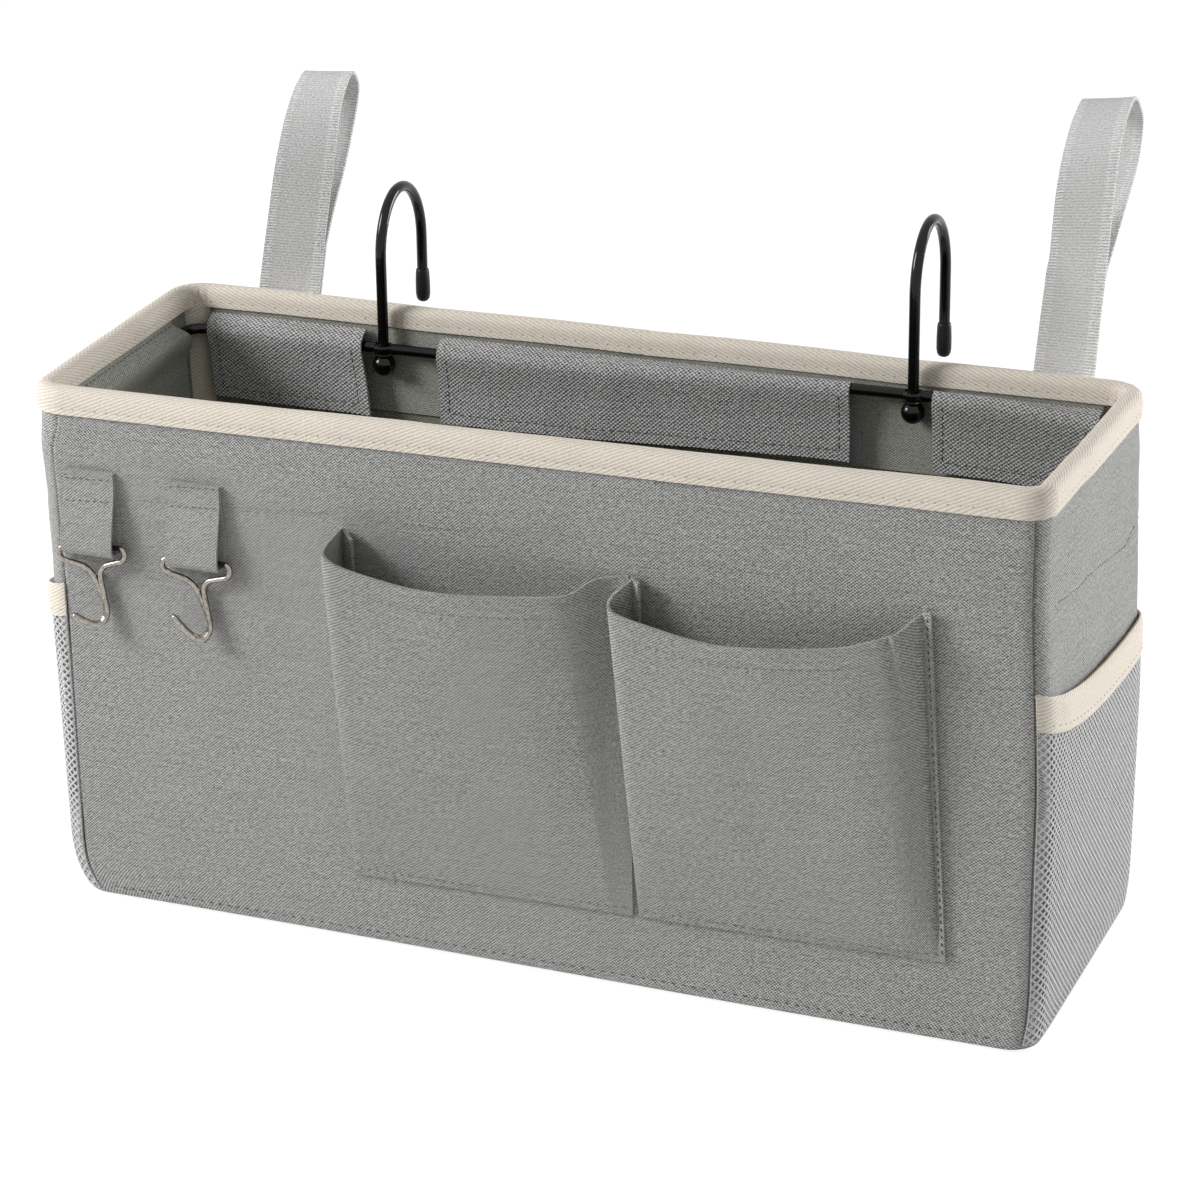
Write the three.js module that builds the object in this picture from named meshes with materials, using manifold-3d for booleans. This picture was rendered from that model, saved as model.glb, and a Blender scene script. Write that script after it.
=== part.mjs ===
import * as THREE from 'three';
import { mergeVertices } from 'three/addons/utils/BufferGeometryUtils.js';
import Module from 'manifold-3d';

// Bedside caddy: a stiffened canvas basket that hangs from a bed rail by two wire hooks and two strap loops.
// Millimetres. +Z is up, +X runs along the front to the right, and the front faces -Y.
// The origin is the middle of the underside.

// Basket walls
const WIDTH = 400;
const DEPTH = 140;
const HEIGHT = 216;
const CORNER_RADIUS = 9;
const CANVAS = 1.2;
const BOARD = 2;
const BASE_BOARD = 2.5;
const LINING = 0.8;
const CLEARANCE = 0.3;

// Rim tape, inside facings and corner tapes
const TAPE = 0.8;
const RIM_TAPE_HEIGHT = 10;
const FACING_HEIGHT = 45;
const FACING_EASE = 14;
const SIDE_FACING_STOP = 6;
const CORNER_TAPE_WIDTH = 8;
const CORNER_TAPE_THICKNESS = 1.6;

// Wire frame and hanging hooks
const WIRE_RADIUS = 2.2;
const WIRE_BEND = 8;
const EYE_RIM = 1.9;
const EYE_THICKNESS = 3;
const HOOK_INSET = 87.5;
const HOOK_MOUTH = 40;
const HOOK_RISE = 48;
const HOOK_TIP_DROP = 8;
const BALL_RADIUS = 4.7;
const WASHER_RADIUS = 3.7;
const WASHER_THICKNESS = 0.8;
const TIP_WALL = 0.7;
const TIP_LENGTH = 14;
const TIP_FLOOR = 1.2;

// Flaps over the rear wire, and the tapes that close them
const FLAP = 1.2;
const FLAP_DROP = 45;
const FLAP_OUTER_GAP = 8.5;
const FLAP_INNER_GAP = 25;
const FASTENER = 1;
const FASTENER_HEIGHT = 13;
const FASTENER_MARGIN = 1.5;
const LOOP_TAPE_OVERHANG = 3;
// Places of the flap round the wire, inwards and up from its middle, as shares of the flap's distance from it
const FLAP_ROUND_WIRE = [[-0.4, 1.4], [0.55, 1], [1.05, 0.2], [1, -0.6]];
const FLAP_FALL = 2.3;

// Strap loops
const STRAP_WIDTH = 25;
const STRAP_PLY = 1.3;
const STRAP_INSET = 35;
const STRAP_LEAN = 22;
const STRAP_OVERLAP = 45;
const STRAP_BEND = 12;
const STRAP_LENGTH_LEFT = 105;
const STRAP_LENGTH_RIGHT = 120;
const STRAP_ANCHOR_LENGTH = 55;

// Net pockets on the sides
const NET = 1;
const NET_FOOT = 8;
const NET_TOP_DROP = 78;
const NET_SAG = 9.2;
const NET_BULGE = 5.5;
const NET_BULGE_TAPER = 1.5;
const NET_COLUMNS = 12;
const NET_ROWS = 8;
const NET_GAP_SHARE = 0.62;
const NET_TAPE_HEIGHT = 13;

// Pleated pockets on the front
const POCKET_LEFT_INSET = 129;
const POCKET_RIGHT_INSET = 37;
const POCKET_TOP_DROP = 46;
const POCKET_FOOT = 30;
const POCKET_MOUTH = 22;
const POCKET_FOLD = 4;
const POCKET_SAG = 14;
const POCKET_SAG_TAPER = 0.8;
// The pleat's middle, as shares of the fold at the foot, of its loss at the mouth and of the mouth's reach
const POCKET_PLEAT = { foot: 0.5, loss: 0.6, out: 0.55 };
// Places along the pouch after its fold, as shares of its length and of the mouth's reach
const POCKET_CROWN = [[0.35, 0.95], [0.65, 0.9], [0.88, 0.7]];

// Folded tabs and their wire hooks
const TAB_WIDTH = 21;
const TAB_PLY = 1.1;
const TAB_INSET = 22;
const TAB_PITCH = 45.5;
const TAB_TOP_DROP = 35;
const TAB_SEWN_LENGTH = 13;
const TAB_LOOP_LENGTH = 17;
const TAB_PUFF = 3.4;
const SMALL_WIRE_RADIUS = 0.9;
const SMALL_WIRE_SLACK = 0.4;
const SMALL_HOOK_SHOULDER = 4;
const SMALL_SHOULDER_BEND = 1.6;
const SMALL_LEG_BEND = 1.25;
const SMALL_NECK_BEND = 2.7;
const SMALL_HOOK_NECK = 11;
const SMALL_HOOK_DROP = 29;
const SMALL_HOOK_REACH = 12;
const SMALL_HOOK_TIP = 8;

const QUARTER_TURN = Math.PI / 2;
const wasm = await Module();
wasm.setup();

const caddy = new THREE.Group();

// Finishes
const CANVAS_GREY = { color: '#9c9b97', roughness: 0.9, metalness: 0 };
const LINING_GREY = { color: '#8f8f8a', roughness: 0.92, metalness: 0 };
const CREAM_TAPE = { color: '#d8cfbf', roughness: 0.85, metalness: 0 };
const NET_GREY = { color: '#c2c2c2', roughness: 0.85, metalness: 0 };
const STRAP_GREY = { color: '#c4c4c3', roughness: 0.8, metalness: 0 };
const FASTENER_GREY = { color: '#a8a6ae', roughness: 0.95, metalness: 0 };
const BOARD_BROWN = { color: '#a89878', roughness: 0.9, metalness: 0 };
const BLACK_WIRE = { color: '#141414', roughness: 0.35, metalness: 0.3 };
const BLACK_RUBBER = { color: '#161616', roughness: 0.7, metalness: 0 };
const NICKEL = { color: '#c9c8c4', roughness: 0.2, metalness: 1 };

function add(name, geometry, finish, parent = caddy) {
  const mesh = new THREE.Mesh(geometry, new THREE.MeshStandardMaterial(finish));
  mesh.name = name;
  parent.add(mesh);
  return mesh;
}

// A closed geometry as a solid that can be cut and joined, and back again.
function solid(geometry) {
  const bare = geometry.clone();
  bare.deleteAttribute('normal');
  bare.deleteAttribute('uv');
  const merged = mergeVertices(bare);
  const vertProperties = new Float32Array(merged.attributes.position.array);
  const triVerts = new Uint32Array(merged.index.array);
  return new wasm.Manifold(new wasm.Mesh({ numProp: 3, vertProperties, triVerts }));
}

function geometryOf(body) {
  const mesh = body.getMesh();
  const geometry = new THREE.BufferGeometry();
  geometry.setAttribute('position', new THREE.BufferAttribute(new Float32Array(mesh.vertProperties), 3));
  geometry.setIndex(new THREE.BufferAttribute(new Uint32Array(mesh.triVerts), 1));
  return geometry;
}

// A plate between two corners.
function plate(low, high) {
  const size = high.map((value, axis) => value - low[axis]);
  const geometry = new THREE.BoxGeometry(...size);
  return geometry.translate(...low.map((value, axis) => value + size[axis] / 2));
}

function upright(shape, bottom, top, curveSegments = 6) {
  const settings = { depth: top - bottom, bevelEnabled: false, curveSegments };
  const geometry = new THREE.ExtrudeGeometry(shape, settings);
  return geometry.translate(0, 0, bottom);
}

// A profile drawn in the YZ plane and run along X from one place to another.
function runAlongX(profile, from, to, steps = 1) {
  const settings = { depth: to - from, steps, bevelEnabled: false, curveSegments: 6 };
  const geometry = new THREE.ExtrudeGeometry(profile, settings);
  const turned = new THREE.Matrix4().set(0, 0, 1, from, 1, 0, 0, 0, 0, 1, 0, 0, 0, 0, 0, 1);
  return geometry.applyMatrix4(turned);
}

// Moves every point of a geometry.
function bend(geometry, move) {
  const position = geometry.attributes.position;
  const point = new THREE.Vector3();
  for (let i = 0; i < position.count; i += 1) {
    move(point.fromBufferAttribute(position, i));
    position.setXYZ(i, point.x, point.y, point.z);
  }
  return geometry;
}

// A sheet of cloth: a thin box whose points are given as shares across, through and up the sheet.
function sheet(columns, rows, place) {
  const box = new THREE.BoxGeometry(1, 1, 1, columns, 1, rows).translate(0.5, 0.5, 0.5);
  return bend(box, (point) => place(point.x, point.y, point.z, point));
}

// A sheet with a gap in every second cell of every second row, on a grid of lines along and up it.
function lattice(alongLines, upLines, place) {
  const [columns, rows] = [alongLines.length, upLines.length];
  const corner = (i, j, through) => (i * rows + j) * 2 + through;
  const positions = [];
  for (const along of alongLines) {
    for (const up of upLines) positions.push(...place(along, 0, up), ...place(along, 1, up));
  }
  const cloth = (i, j) => {
    const inside = i >= 0 && j >= 0 && i < columns - 1 && j < rows - 1;
    return inside && !(i % 2 === 1 && j % 2 === 1);
  };
  const faces = [];
  const quad = (a, b, c, d) => faces.push(a, b, c, a, c, d);
  for (let i = 0; i < columns - 1; i += 1) {
    for (let j = 0; j < rows - 1; j += 1) {
      if (!cloth(i, j)) continue;
      const outer = [corner(i, j, 0), corner(i + 1, j, 0), corner(i + 1, j + 1, 0), corner(i, j + 1, 0)];
      const inner = outer.map((index) => index + 1);
      quad(...outer);
      quad(...inner.toReversed());
      [[i, j - 1], [i + 1, j], [i, j + 1], [i - 1, j]].forEach(([nextI, nextJ], side) => {
        const next = (side + 1) % 4;
        if (!cloth(nextI, nextJ)) quad(outer[next], outer[side], inner[side], inner[next]);
      });
    }
  }
  const geometry = new THREE.BufferGeometry();
  geometry.setAttribute('position', new THREE.Float32BufferAttribute(positions, 3));
  return geometry.setIndex(faces);
}

// The path of a bent wire: a polyline whose corners are arcs, with one step for each point.
class WirePath extends THREE.Curve {
  constructor(points) {
    super();
    this.points = points;
  }

  getPoint(share, target = new THREE.Vector3()) {
    const place = share * (this.points.length - 1);
    const first = Math.min(Math.floor(place), this.points.length - 2);
    return target.lerpVectors(this.points[first], this.points[first + 1], place - first);
  }

  getUtoTmapping(share) {
    return share;
  }
}

// Each corner is a place with the radius of the bend there; the two ends have none.
function wire(corners, radius, sides, bendSteps = 6) {
  const places = corners.map((corner) => new THREE.Vector3(...corner.at));
  const points = [places[0]];
  const append = (point) => {
    if (point.distanceTo(points.at(-1)) > 0.01) points.push(point);
  };
  for (let i = 1; i < places.length - 1; i += 1) {
    const inward = places[i].clone().sub(places[i - 1]).normalize();
    const outward = places[i + 1].clone().sub(places[i]).normalize();
    const angle = inward.angleTo(outward);
    const axis = inward.clone().cross(outward).normalize();
    const start = places[i].clone().addScaledVector(inward, -corners[i].radius * Math.tan(angle / 2));
    const centre = start.clone().addScaledVector(axis.clone().cross(inward), corners[i].radius);
    for (let step = 0; step <= bendSteps; step += 1) {
      const spoke = start.clone().sub(centre).applyAxisAngle(axis, (angle * step) / bendSteps);
      append(spoke.add(centre));
    }
  }
  append(places.at(-1));
  const section = new THREE.Shape().absarc(0, 0, radius, 0, 2 * Math.PI);
  const extrudePath = new WirePath(points);
  const settings = { steps: points.length - 1, extrudePath, curveSegments: sides / 2 };
  return new THREE.ExtrudeGeometry(section, settings);
}

// Layers of a wall, as distances inwards from the outer face
const boardFace = CANVAS + CLEARANCE;
const liningFace = boardFace + BOARD + CLEARANCE;
const facingFace = liningFace + LINING + CLEARANCE;
const wall = facingFace + LINING;

// Heights
const baseBoardBottom = CANVAS + CLEARANCE;
const baseLiningBottom = baseBoardBottom + BASE_BOARD + CLEARANCE;
const clothTop = HEIGHT - TAPE - CLEARANCE;
const rimTapeFoot = HEIGHT - RIM_TAPE_HEIGHT;
const facingFoot = HEIGHT - FACING_HEIGHT;
const wireHeight = rimTapeFoot - 3 * WIRE_RADIUS;

// Wire frame places: the rear run stands off the back facing by the ball of a hook
const wireSide = WIDTH / 2 - facingFace - WIRE_RADIUS;
const wireFront = -(DEPTH / 2 - facingFace - WIRE_RADIUS);
const wireRear = DEPTH / 2 - wall - CLEARANCE - BALL_RADIUS;
const straightHalf = wireSide - WIRE_BEND;
const hookSide = WIDTH / 2 - HOOK_INSET;

// The four walls: the half length, the reach from the middle and the turn about Z that faces each outwards.
// Within a wall, X runs along it, Y runs inwards and Z is up.
const WALLS = {
  front: { half: WIDTH / 2, reach: DEPTH / 2, turn: 0 },
  right: { half: DEPTH / 2, reach: WIDTH / 2, turn: QUARTER_TURN },
  back: { half: WIDTH / 2, reach: DEPTH / 2, turn: 2 * QUARTER_TURN },
  left: { half: DEPTH / 2, reach: WIDTH / 2, turn: -QUARTER_TURN },
};
for (const side of Object.values(WALLS)) {
  side.group = new THREE.Group();
  side.group.rotation.z = side.turn;
  caddy.add(side.group);
}

// Canvas panels: flat, with half of each rounded upright edge, meeting at seams on the corners.
function panelShape(half) {
  const straight = half - CORNER_RADIUS;
  const inside = CORNER_RADIUS - CANVAS;
  const seam = QUARTER_TURN / 2 - CLEARANCE / 2 / inside;
  const shape = new THREE.Shape();
  shape.absarc(-straight, CORNER_RADIUS, CORNER_RADIUS, -QUARTER_TURN - seam, -QUARTER_TURN, false);
  shape.absarc(straight, CORNER_RADIUS, CORNER_RADIUS, -QUARTER_TURN, -QUARTER_TURN + seam, false);
  shape.absarc(straight, CORNER_RADIUS, inside, -QUARTER_TURN + seam, -QUARTER_TURN, true);
  shape.absarc(-straight, CORNER_RADIUS, inside, -QUARTER_TURN, -QUARTER_TURN - seam, true);
  return shape;
}

// A stiffener is flat and ends where the rounded edges begin. A lining runs on into the corner.
for (const [name, side] of Object.entries(WALLS)) {
  const { half, reach, group } = side;
  const panel = upright(panelShape(half), baseBoardBottom, clothTop, 4).translate(0, -reach, 0);
  add(`${name}_panel`, panel, CANVAS_GREY, group);

  const stiffHalf = half - CORNER_RADIUS;
  const stiffLow = [-stiffHalf, -reach + boardFace, baseLiningBottom];
  const stiffHigh = [stiffHalf, -reach + boardFace + BOARD, clothTop];
  const lengthways = half > reach;
  const stiffener = lengthways ? `${name}_board` : `${name}_interlining`;
  add(stiffener, plate(stiffLow, stiffHigh), BOARD_BROWN, group);

  const liningHalf = half - liningFace - (lengthways ? LINING + CLEARANCE : 0);
  const liningLow = [-liningHalf, -reach + liningFace, baseLiningBottom];
  const liningHigh = [liningHalf, -reach + liningFace + LINING, clothTop];
  add(`${name}_lining`, plate(liningLow, liningHigh), LINING_GREY, group);
}

// Base: canvas, board and lining cloth
function footprint(inset) {
  const halfX = WIDTH / 2 - inset;
  const halfY = DEPTH / 2 - inset;
  const radius = Math.max(CORNER_RADIUS - inset, CLEARANCE);
  const shape = new THREE.Shape();
  shape.absarc(halfX - radius, halfY - radius, radius, 0, QUARTER_TURN);
  shape.absarc(radius - halfX, halfY - radius, radius, QUARTER_TURN, 2 * QUARTER_TURN);
  shape.absarc(radius - halfX, radius - halfY, radius, 2 * QUARTER_TURN, 3 * QUARTER_TURN);
  shape.absarc(halfX - radius, radius - halfY, radius, 3 * QUARTER_TURN, 4 * QUARTER_TURN);
  return shape;
}
const baseBoardTop = baseBoardBottom + BASE_BOARD;
const baseLiningTop = baseLiningBottom + LINING;
add('bottom_panel', upright(footprint(0), 0, CANVAS), CANVAS_GREY);
add('bottom_board', upright(footprint(boardFace), baseBoardBottom, baseBoardTop), BOARD_BROWN);
add('bottom_lining', upright(footprint(facingFace), baseLiningBottom, baseLiningTop), LINING_GREY);

// Rim tape: folded over all the layers of the walls, in one ring
function ring(outside, inside, bottom, top) {
  const shape = footprint(outside);
  shape.holes.push(footprint(inside));
  return upright(shape, bottom, top);
}
const tapeBlock = ring(-CLEARANCE - TAPE, wall + CLEARANCE + TAPE, rimTapeFoot, HEIGHT);
const tapeSlot = ring(-CLEARANCE, wall + CLEARANCE, rimTapeFoot - TAPE, HEIGHT - TAPE);
add('rim_binding', geometryOf(solid(tapeBlock).subtract(solid(tapeSlot))), CREAM_TAPE);

// Facings: the cloth that covers the wire on the front and the sides stands off its wall round the wire.
const wireSleeve = 2 * WIRE_RADIUS + CLEARANCE;
const sleeveTop = rimTapeFoot - CLEARANCE;
function facingStandOff(height) {
  const run = height > wireHeight ? sleeveTop - wireHeight : FACING_EASE;
  const share = Math.min(Math.abs(height - wireHeight) / run, 1);
  return wireSleeve * (0.5 + 0.5 * Math.cos(Math.PI * share));
}
function facingProfile(reach) {
  const steps = 6;
  const heights = [facingFoot];
  for (let i = 0; i < steps; i += 1) heights.push(wireHeight - FACING_EASE * (1 - i / steps));
  for (let i = 0; i <= steps; i += 1) heights.push(wireHeight + ((sleeveTop - wireHeight) * i) / steps);
  heights.push(clothTop);
  const outside = heights.map((z) => new THREE.Vector2(-reach + facingFace + facingStandOff(z), z));
  const inside = outside.map((point) => new THREE.Vector2(point.x + LINING, point.y));
  return new THREE.Shape([...inside, ...outside.reverse()]);
}
const sideFacingFront = wireFront + WIRE_BEND;
const sideFacingRear = wireRear - WIRE_BEND - SIDE_FACING_STOP;
const FACING_SPANS = {
  front: [-straightHalf, straightHalf],
  right: [sideFacingFront, sideFacingRear],
  left: [-sideFacingRear, -sideFacingFront],
};
for (const [name, [from, to]] of Object.entries(FACING_SPANS)) {
  const { reach, group } = WALLS[name];
  add(`${name}_facing`, runAlongX(facingProfile(reach), from, to), LINING_GREY, group);
}
const backFacingLow = [-straightHalf, -DEPTH / 2 + facingFace, facingFoot];
const backFacingHigh = [straightHalf, -DEPTH / 2 + wall, clothTop];
add('back_facing', plate(backFacingLow, backFacingHigh), LINING_GREY, WALLS.back.group);

// Corner tapes: a flat tape across each inside corner, from the base to just under the wire
const cornerTapeTop = wireHeight - WIRE_RADIUS - CLEARANCE;
const cornerTapeBack = CORNER_TAPE_WIDTH / 2 + CLEARANCE * Math.SQRT2;
for (const [name, signX, signY] of [
  ['front_left', -1, -1],
  ['front_right', 1, -1],
  ['rear_left', -1, 1],
  ['rear_right', 1, 1],
]) {
  const half = CORNER_TAPE_WIDTH / 2;
  const low = [-half, cornerTapeBack, baseLiningTop + CLEARANCE];
  const tape = plate(low, [half, cornerTapeBack + CORNER_TAPE_THICKNESS, cornerTapeTop]);
  const mesh = add(`corner_tape_${name}`, tape, CREAM_TAPE);
  mesh.position.set(signX * (WIDTH / 2 - facingFace), signY * (DEPTH / 2 - facingFace), 0);
  mesh.rotation.z = Math.atan2(-signY, -signX) - QUARTER_TURN;
}

// Wire frame: one wire bent round the rim and butted at the middle of the front, with two pierced eyes
const frameWire = wire([
  { at: [CLEARANCE, wireFront, wireHeight] },
  { at: [wireSide, wireFront, wireHeight], radius: WIRE_BEND },
  { at: [wireSide, wireRear, wireHeight], radius: WIRE_BEND },
  { at: [-wireSide, wireRear, wireHeight], radius: WIRE_BEND },
  { at: [-wireSide, wireFront, wireHeight], radius: WIRE_BEND },
  { at: [-CLEARANCE, wireFront, wireHeight] },
], WIRE_RADIUS, 10);
const eyeBore = WIRE_RADIUS + CLEARANCE;
const eyeRadius = eyeBore + EYE_RIM;
let frameSolid = solid(frameWire);
for (const x of [-hookSide, hookSide]) {
  const round = (radius, height) => {
    const geometry = new THREE.CylinderGeometry(radius, radius, height, 20).rotateX(QUARTER_TURN);
    return solid(geometry.translate(x, wireRear, wireHeight));
  };
  const flattened = frameSolid.subtract(round(eyeRadius - CLEARANCE, 3 * WIRE_RADIUS));
  frameSolid = flattened.add(round(eyeRadius, EYE_THICKNESS)).subtract(round(eyeBore, 3 * WIRE_RADIUS));
}
add('wire_frame', geometryOf(frameSolid), BLACK_WIRE);

// Hanging hooks: a wire with a ball under the eye, up through it, over a bend and down behind the back wall
const washerTop = wireHeight - EYE_THICKNESS / 2 - CLEARANCE;
const washerBore = WIRE_RADIUS + CLEARANCE;
const ballCentre = washerTop - WASHER_THICKNESS - CLEARANCE - Math.sqrt(BALL_RADIUS ** 2 - washerBore ** 2);
const hookTop = HEIGHT + HOOK_RISE - WIRE_RADIUS;
const tipBottom = HEIGHT - HOOK_TIP_DROP;
const tipBore = WIRE_RADIUS + CLEARANCE;
for (const [name, x] of [['left', -hookSide], ['right', hookSide]]) {
  const bent = wire([
    { at: [x, wireRear, ballCentre] },
    { at: [x, wireRear, hookTop], radius: HOOK_MOUTH / 2 },
    { at: [x, wireRear + HOOK_MOUTH, hookTop], radius: HOOK_MOUTH / 2 },
    { at: [x, wireRear + HOOK_MOUTH, tipBottom + TIP_FLOOR + CLEARANCE] },
  ], WIRE_RADIUS, 10, 8);
  const ball = new THREE.SphereGeometry(BALL_RADIUS, 16, 10).translate(x, wireRear, ballCentre);
  add(`hanging_hook_${name}`, geometryOf(solid(bent).add(solid(ball))), BLACK_WIRE);

  const disc = new THREE.Shape().absarc(0, 0, WASHER_RADIUS, 0, 2 * Math.PI);
  disc.holes.push(new THREE.Path().absarc(0, 0, washerBore, 0, 2 * Math.PI));
  const washer = upright(disc, washerTop - WASHER_THICKNESS, washerTop, 10).translate(x, wireRear, 0);
  add(`hook_washer_${name}`, washer, BLACK_WIRE);

  const tipProfile = [
    [0, 0],
    [tipBore, 0],
    [tipBore + TIP_WALL, TIP_WALL],
    [tipBore + TIP_WALL, TIP_LENGTH],
    [tipBore, TIP_LENGTH],
    [tipBore, TIP_FLOOR],
    [0, TIP_FLOOR],
  ].map(([radius, height]) => new THREE.Vector2(radius, height));
  const tip = new THREE.LatheGeometry(tipProfile, 16).rotateX(QUARTER_TURN);
  add(`hook_tip_${name}`, tip.translate(x, wireRear + HOOK_MOUTH, tipBottom), BLACK_RUBBER);
}

// Flaps: hinged under the rim tape, over the rear wire and down the back facing.
// Each closes with a hook tape inside it on a loop tape behind it.
// Faces and insets are distances inwards from the back's outer face.
const loopTapeFace = wall + CLEARANCE;
const hookTapeFace = loopTapeFace + FASTENER + CLEARANCE;
const flapFace = hookTapeFace + FASTENER + CLEARANCE;
const flapFoot = HEIGHT - FLAP_DROP;
const fastenerFoot = flapFoot + FASTENER_MARGIN;
const fastenerTop = fastenerFoot + FASTENER_HEIGHT;
const flapHinge = {
  inset: wall + 2 * CLEARANCE + TAPE + FLAP / 4,
  height: rimTapeFoot - CLEARANCE - FLAP / 2,
};
const wireInset = DEPTH / 2 - wireRear;
const overWire = WIRE_RADIUS + CLEARANCE + FLAP / 2;
const flapStand = flapFace + FLAP / 2;
const flapCurve = new THREE.SplineCurve([
  [flapHinge.inset, flapHinge.height],
  ...FLAP_ROUND_WIRE.map(([inwards, up]) => [wireInset + inwards * overWire, wireHeight + up * overWire]),
  [(wireInset + overWire + flapStand) / 2, wireHeight - FLAP_FALL * overWire],
  [flapStand + FLAP / 4, fastenerTop + 3 * FLAP],
  [flapStand, fastenerTop],
].map(([inset, height]) => new THREE.Vector2(inset, height)));
const flapLine = [...flapCurve.getPoints(21), new THREE.Vector2(flapStand, flapFoot)];
// One face of the flap: its line moved sideways by half its thickness
function flapFacePoints(offset) {
  return flapLine.map((point, i) => {
    const before = flapLine[Math.max(i - 1, 0)];
    const after = flapLine[Math.min(i + 1, flapLine.length - 1)];
    const along = after.clone().sub(before).normalize();
    return new THREE.Vector2(point.x - along.y * offset - DEPTH / 2, point.y + along.x * offset);
  });
}
function flapProfile() {
  return new THREE.Shape([...flapFacePoints(-FLAP / 2), ...flapFacePoints(FLAP / 2).reverse()]);
}
const FLAPS = {
  left: [-straightHalf, -hookSide - FLAP_OUTER_GAP],
  middle: [-hookSide + FLAP_INNER_GAP, hookSide - FLAP_INNER_GAP],
  right: [hookSide + FLAP_OUTER_GAP, straightHalf],
};
for (const [name, [west, east]] of Object.entries(FLAPS)) {
  const group = WALLS.back.group;
  const [from, to] = [-east, -west];
  add(`rod_flap_${name}`, runAlongX(flapProfile(), from, to), CANVAS_GREY, group);
  const tapeAt = (face, start, end) => plate(
    [start, face - DEPTH / 2, fastenerFoot],
    [end, face + FASTENER - DEPTH / 2, fastenerTop],
  );
  const hookTape = tapeAt(hookTapeFace, from + FASTENER_MARGIN, to - FASTENER_MARGIN);
  add(`flap_hook_tape_${name}`, hookTape, FASTENER_GREY, group);
  const loopFrom = Math.max(from - LOOP_TAPE_OVERHANG, -straightHalf);
  add(`flap_loop_tape_${name}`, tapeAt(loopTapeFace, loopFrom, to), FASTENER_GREY, group);
}

// Strap loops: two plies pressed together above a sewn end on the back panel, then opening into a loop
const anchorTop = rimTapeFoot - CLEARANCE;
const anchorFace = DEPTH / 2 + CLEARANCE;
const strapHinge = { y: anchorFace + STRAP_PLY + CLEARANCE + STRAP_PLY, z: anchorTop - 2 * STRAP_PLY };
function strapProfile(length) {
  const bendHeight = length - STRAP_BEND;
  const bendCentre = STRAP_BEND - STRAP_PLY;
  const shape = new THREE.Shape();
  shape.absarc(0, 0, STRAP_PLY, Math.PI, 2 * Math.PI);
  shape.lineTo(STRAP_PLY, STRAP_OVERLAP);
  shape.absarc(bendCentre, bendHeight, STRAP_BEND, 0, Math.PI);
  const space = new THREE.Path();
  space.absarc(bendCentre, bendHeight, STRAP_BEND - STRAP_PLY, 0, Math.PI);
  space.lineTo(0, STRAP_OVERLAP);
  shape.holes.push(space);
  return shape;
}
for (const [name, sign, length] of [['left', -1, STRAP_LENGTH_LEFT], ['right', 1, STRAP_LENGTH_RIGHT]]) {
  const x = sign * (WIDTH / 2 - STRAP_INSET);
  const [from, to] = [x - STRAP_WIDTH / 2, x + STRAP_WIDTH / 2];
  const strap = add(`strap_${name}`, runAlongX(strapProfile(length), from, to), STRAP_GREY);
  strap.position.set(0, strapHinge.y, strapHinge.z);
  strap.rotation.x = -THREE.MathUtils.degToRad(STRAP_LEAN);
  const anchorLow = [from, anchorFace, anchorTop - STRAP_ANCHOR_LENGTH];
  add(`strap_anchor_${name}`, plate(anchorLow, [to, anchorFace + STRAP_PLY, anchorTop]), STRAP_GREY);
}

// Net pockets: sewn up both ends and along the foot, slack at the mouth, which a tape binds.
const netHalf = DEPTH / 2 - CORNER_RADIUS;
const netSeat = CLEARANCE + TAPE + CLEARANCE;
function netTop(along) {
  return HEIGHT - NET_TOP_DROP - NET_SAG * Math.sin(Math.PI * along);
}
function netStandOff(along, up) {
  const bulge = NET_BULGE * Math.sin(Math.PI * along) ** NET_BULGE_TAPER;
  return CLEARANCE + (netSeat - CLEARANCE + bulge) * up;
}
// The cloth is a lattice of bars between gaps, plain under the tape.
// Lines along and up it are shares of its size.
function netPocket(reach) {
  const bar = (1 - NET_GAP_SHARE) / 2;
  const lines = (count, extent) => {
    const list = [0];
    for (let i = 0; i < count; i += 1) {
      list.push((extent * (i + bar)) / count, (extent * (i + 1 - bar)) / count);
    }
    return [...list, 1];
  };
  const open = 1 - (NET_TAPE_HEIGHT + TAPE) / (netTop(0.5) - NET_FOOT);
  const place = (along, through, up) => {
    const out = netStandOff(along, up) + NET * (1 - through);
    return [netHalf * (2 * along - 1), -reach - out, NET_FOOT + up * (netTop(along) - NET_FOOT)];
  };
  return lattice(lines(NET_COLUMNS, 1), lines(NET_ROWS, open), place);
}
// The tape is folded over the mouth: a hooked profile that follows the net's edge.
function netTape(reach) {
  const around = CLEARANCE + TAPE;
  const profile = new THREE.Shape([
    [-NET - around, -NET_TAPE_HEIGHT],
    [-NET - CLEARANCE, -NET_TAPE_HEIGHT],
    [-NET - CLEARANCE, CLEARANCE],
    [CLEARANCE, CLEARANCE],
    [CLEARANCE, -NET_TAPE_HEIGHT],
    [around, -NET_TAPE_HEIGHT],
    [around, around],
    [-NET - around, around],
  ].map(([out, up]) => new THREE.Vector2(out, up)));
  const tape = runAlongX(profile, -netHalf, netHalf, NET_COLUMNS);
  return bend(tape, (point) => {
    const along = THREE.MathUtils.clamp((point.x / netHalf + 1) / 2, 0, 1);
    const up = Math.min(1 + point.z / (netTop(along) - NET_FOOT), 1);
    point.set(point.x, point.y - reach - netStandOff(along, up), point.z + netTop(along));
  });
}
for (const name of ['left', 'right']) {
  const { reach, group } = WALLS[name];
  add(`mesh_pocket_${name}`, netPocket(reach), NET_GREY, group);
  add(`mesh_binding_${name}`, netTape(reach), CREAM_TAPE, group);
}

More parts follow.
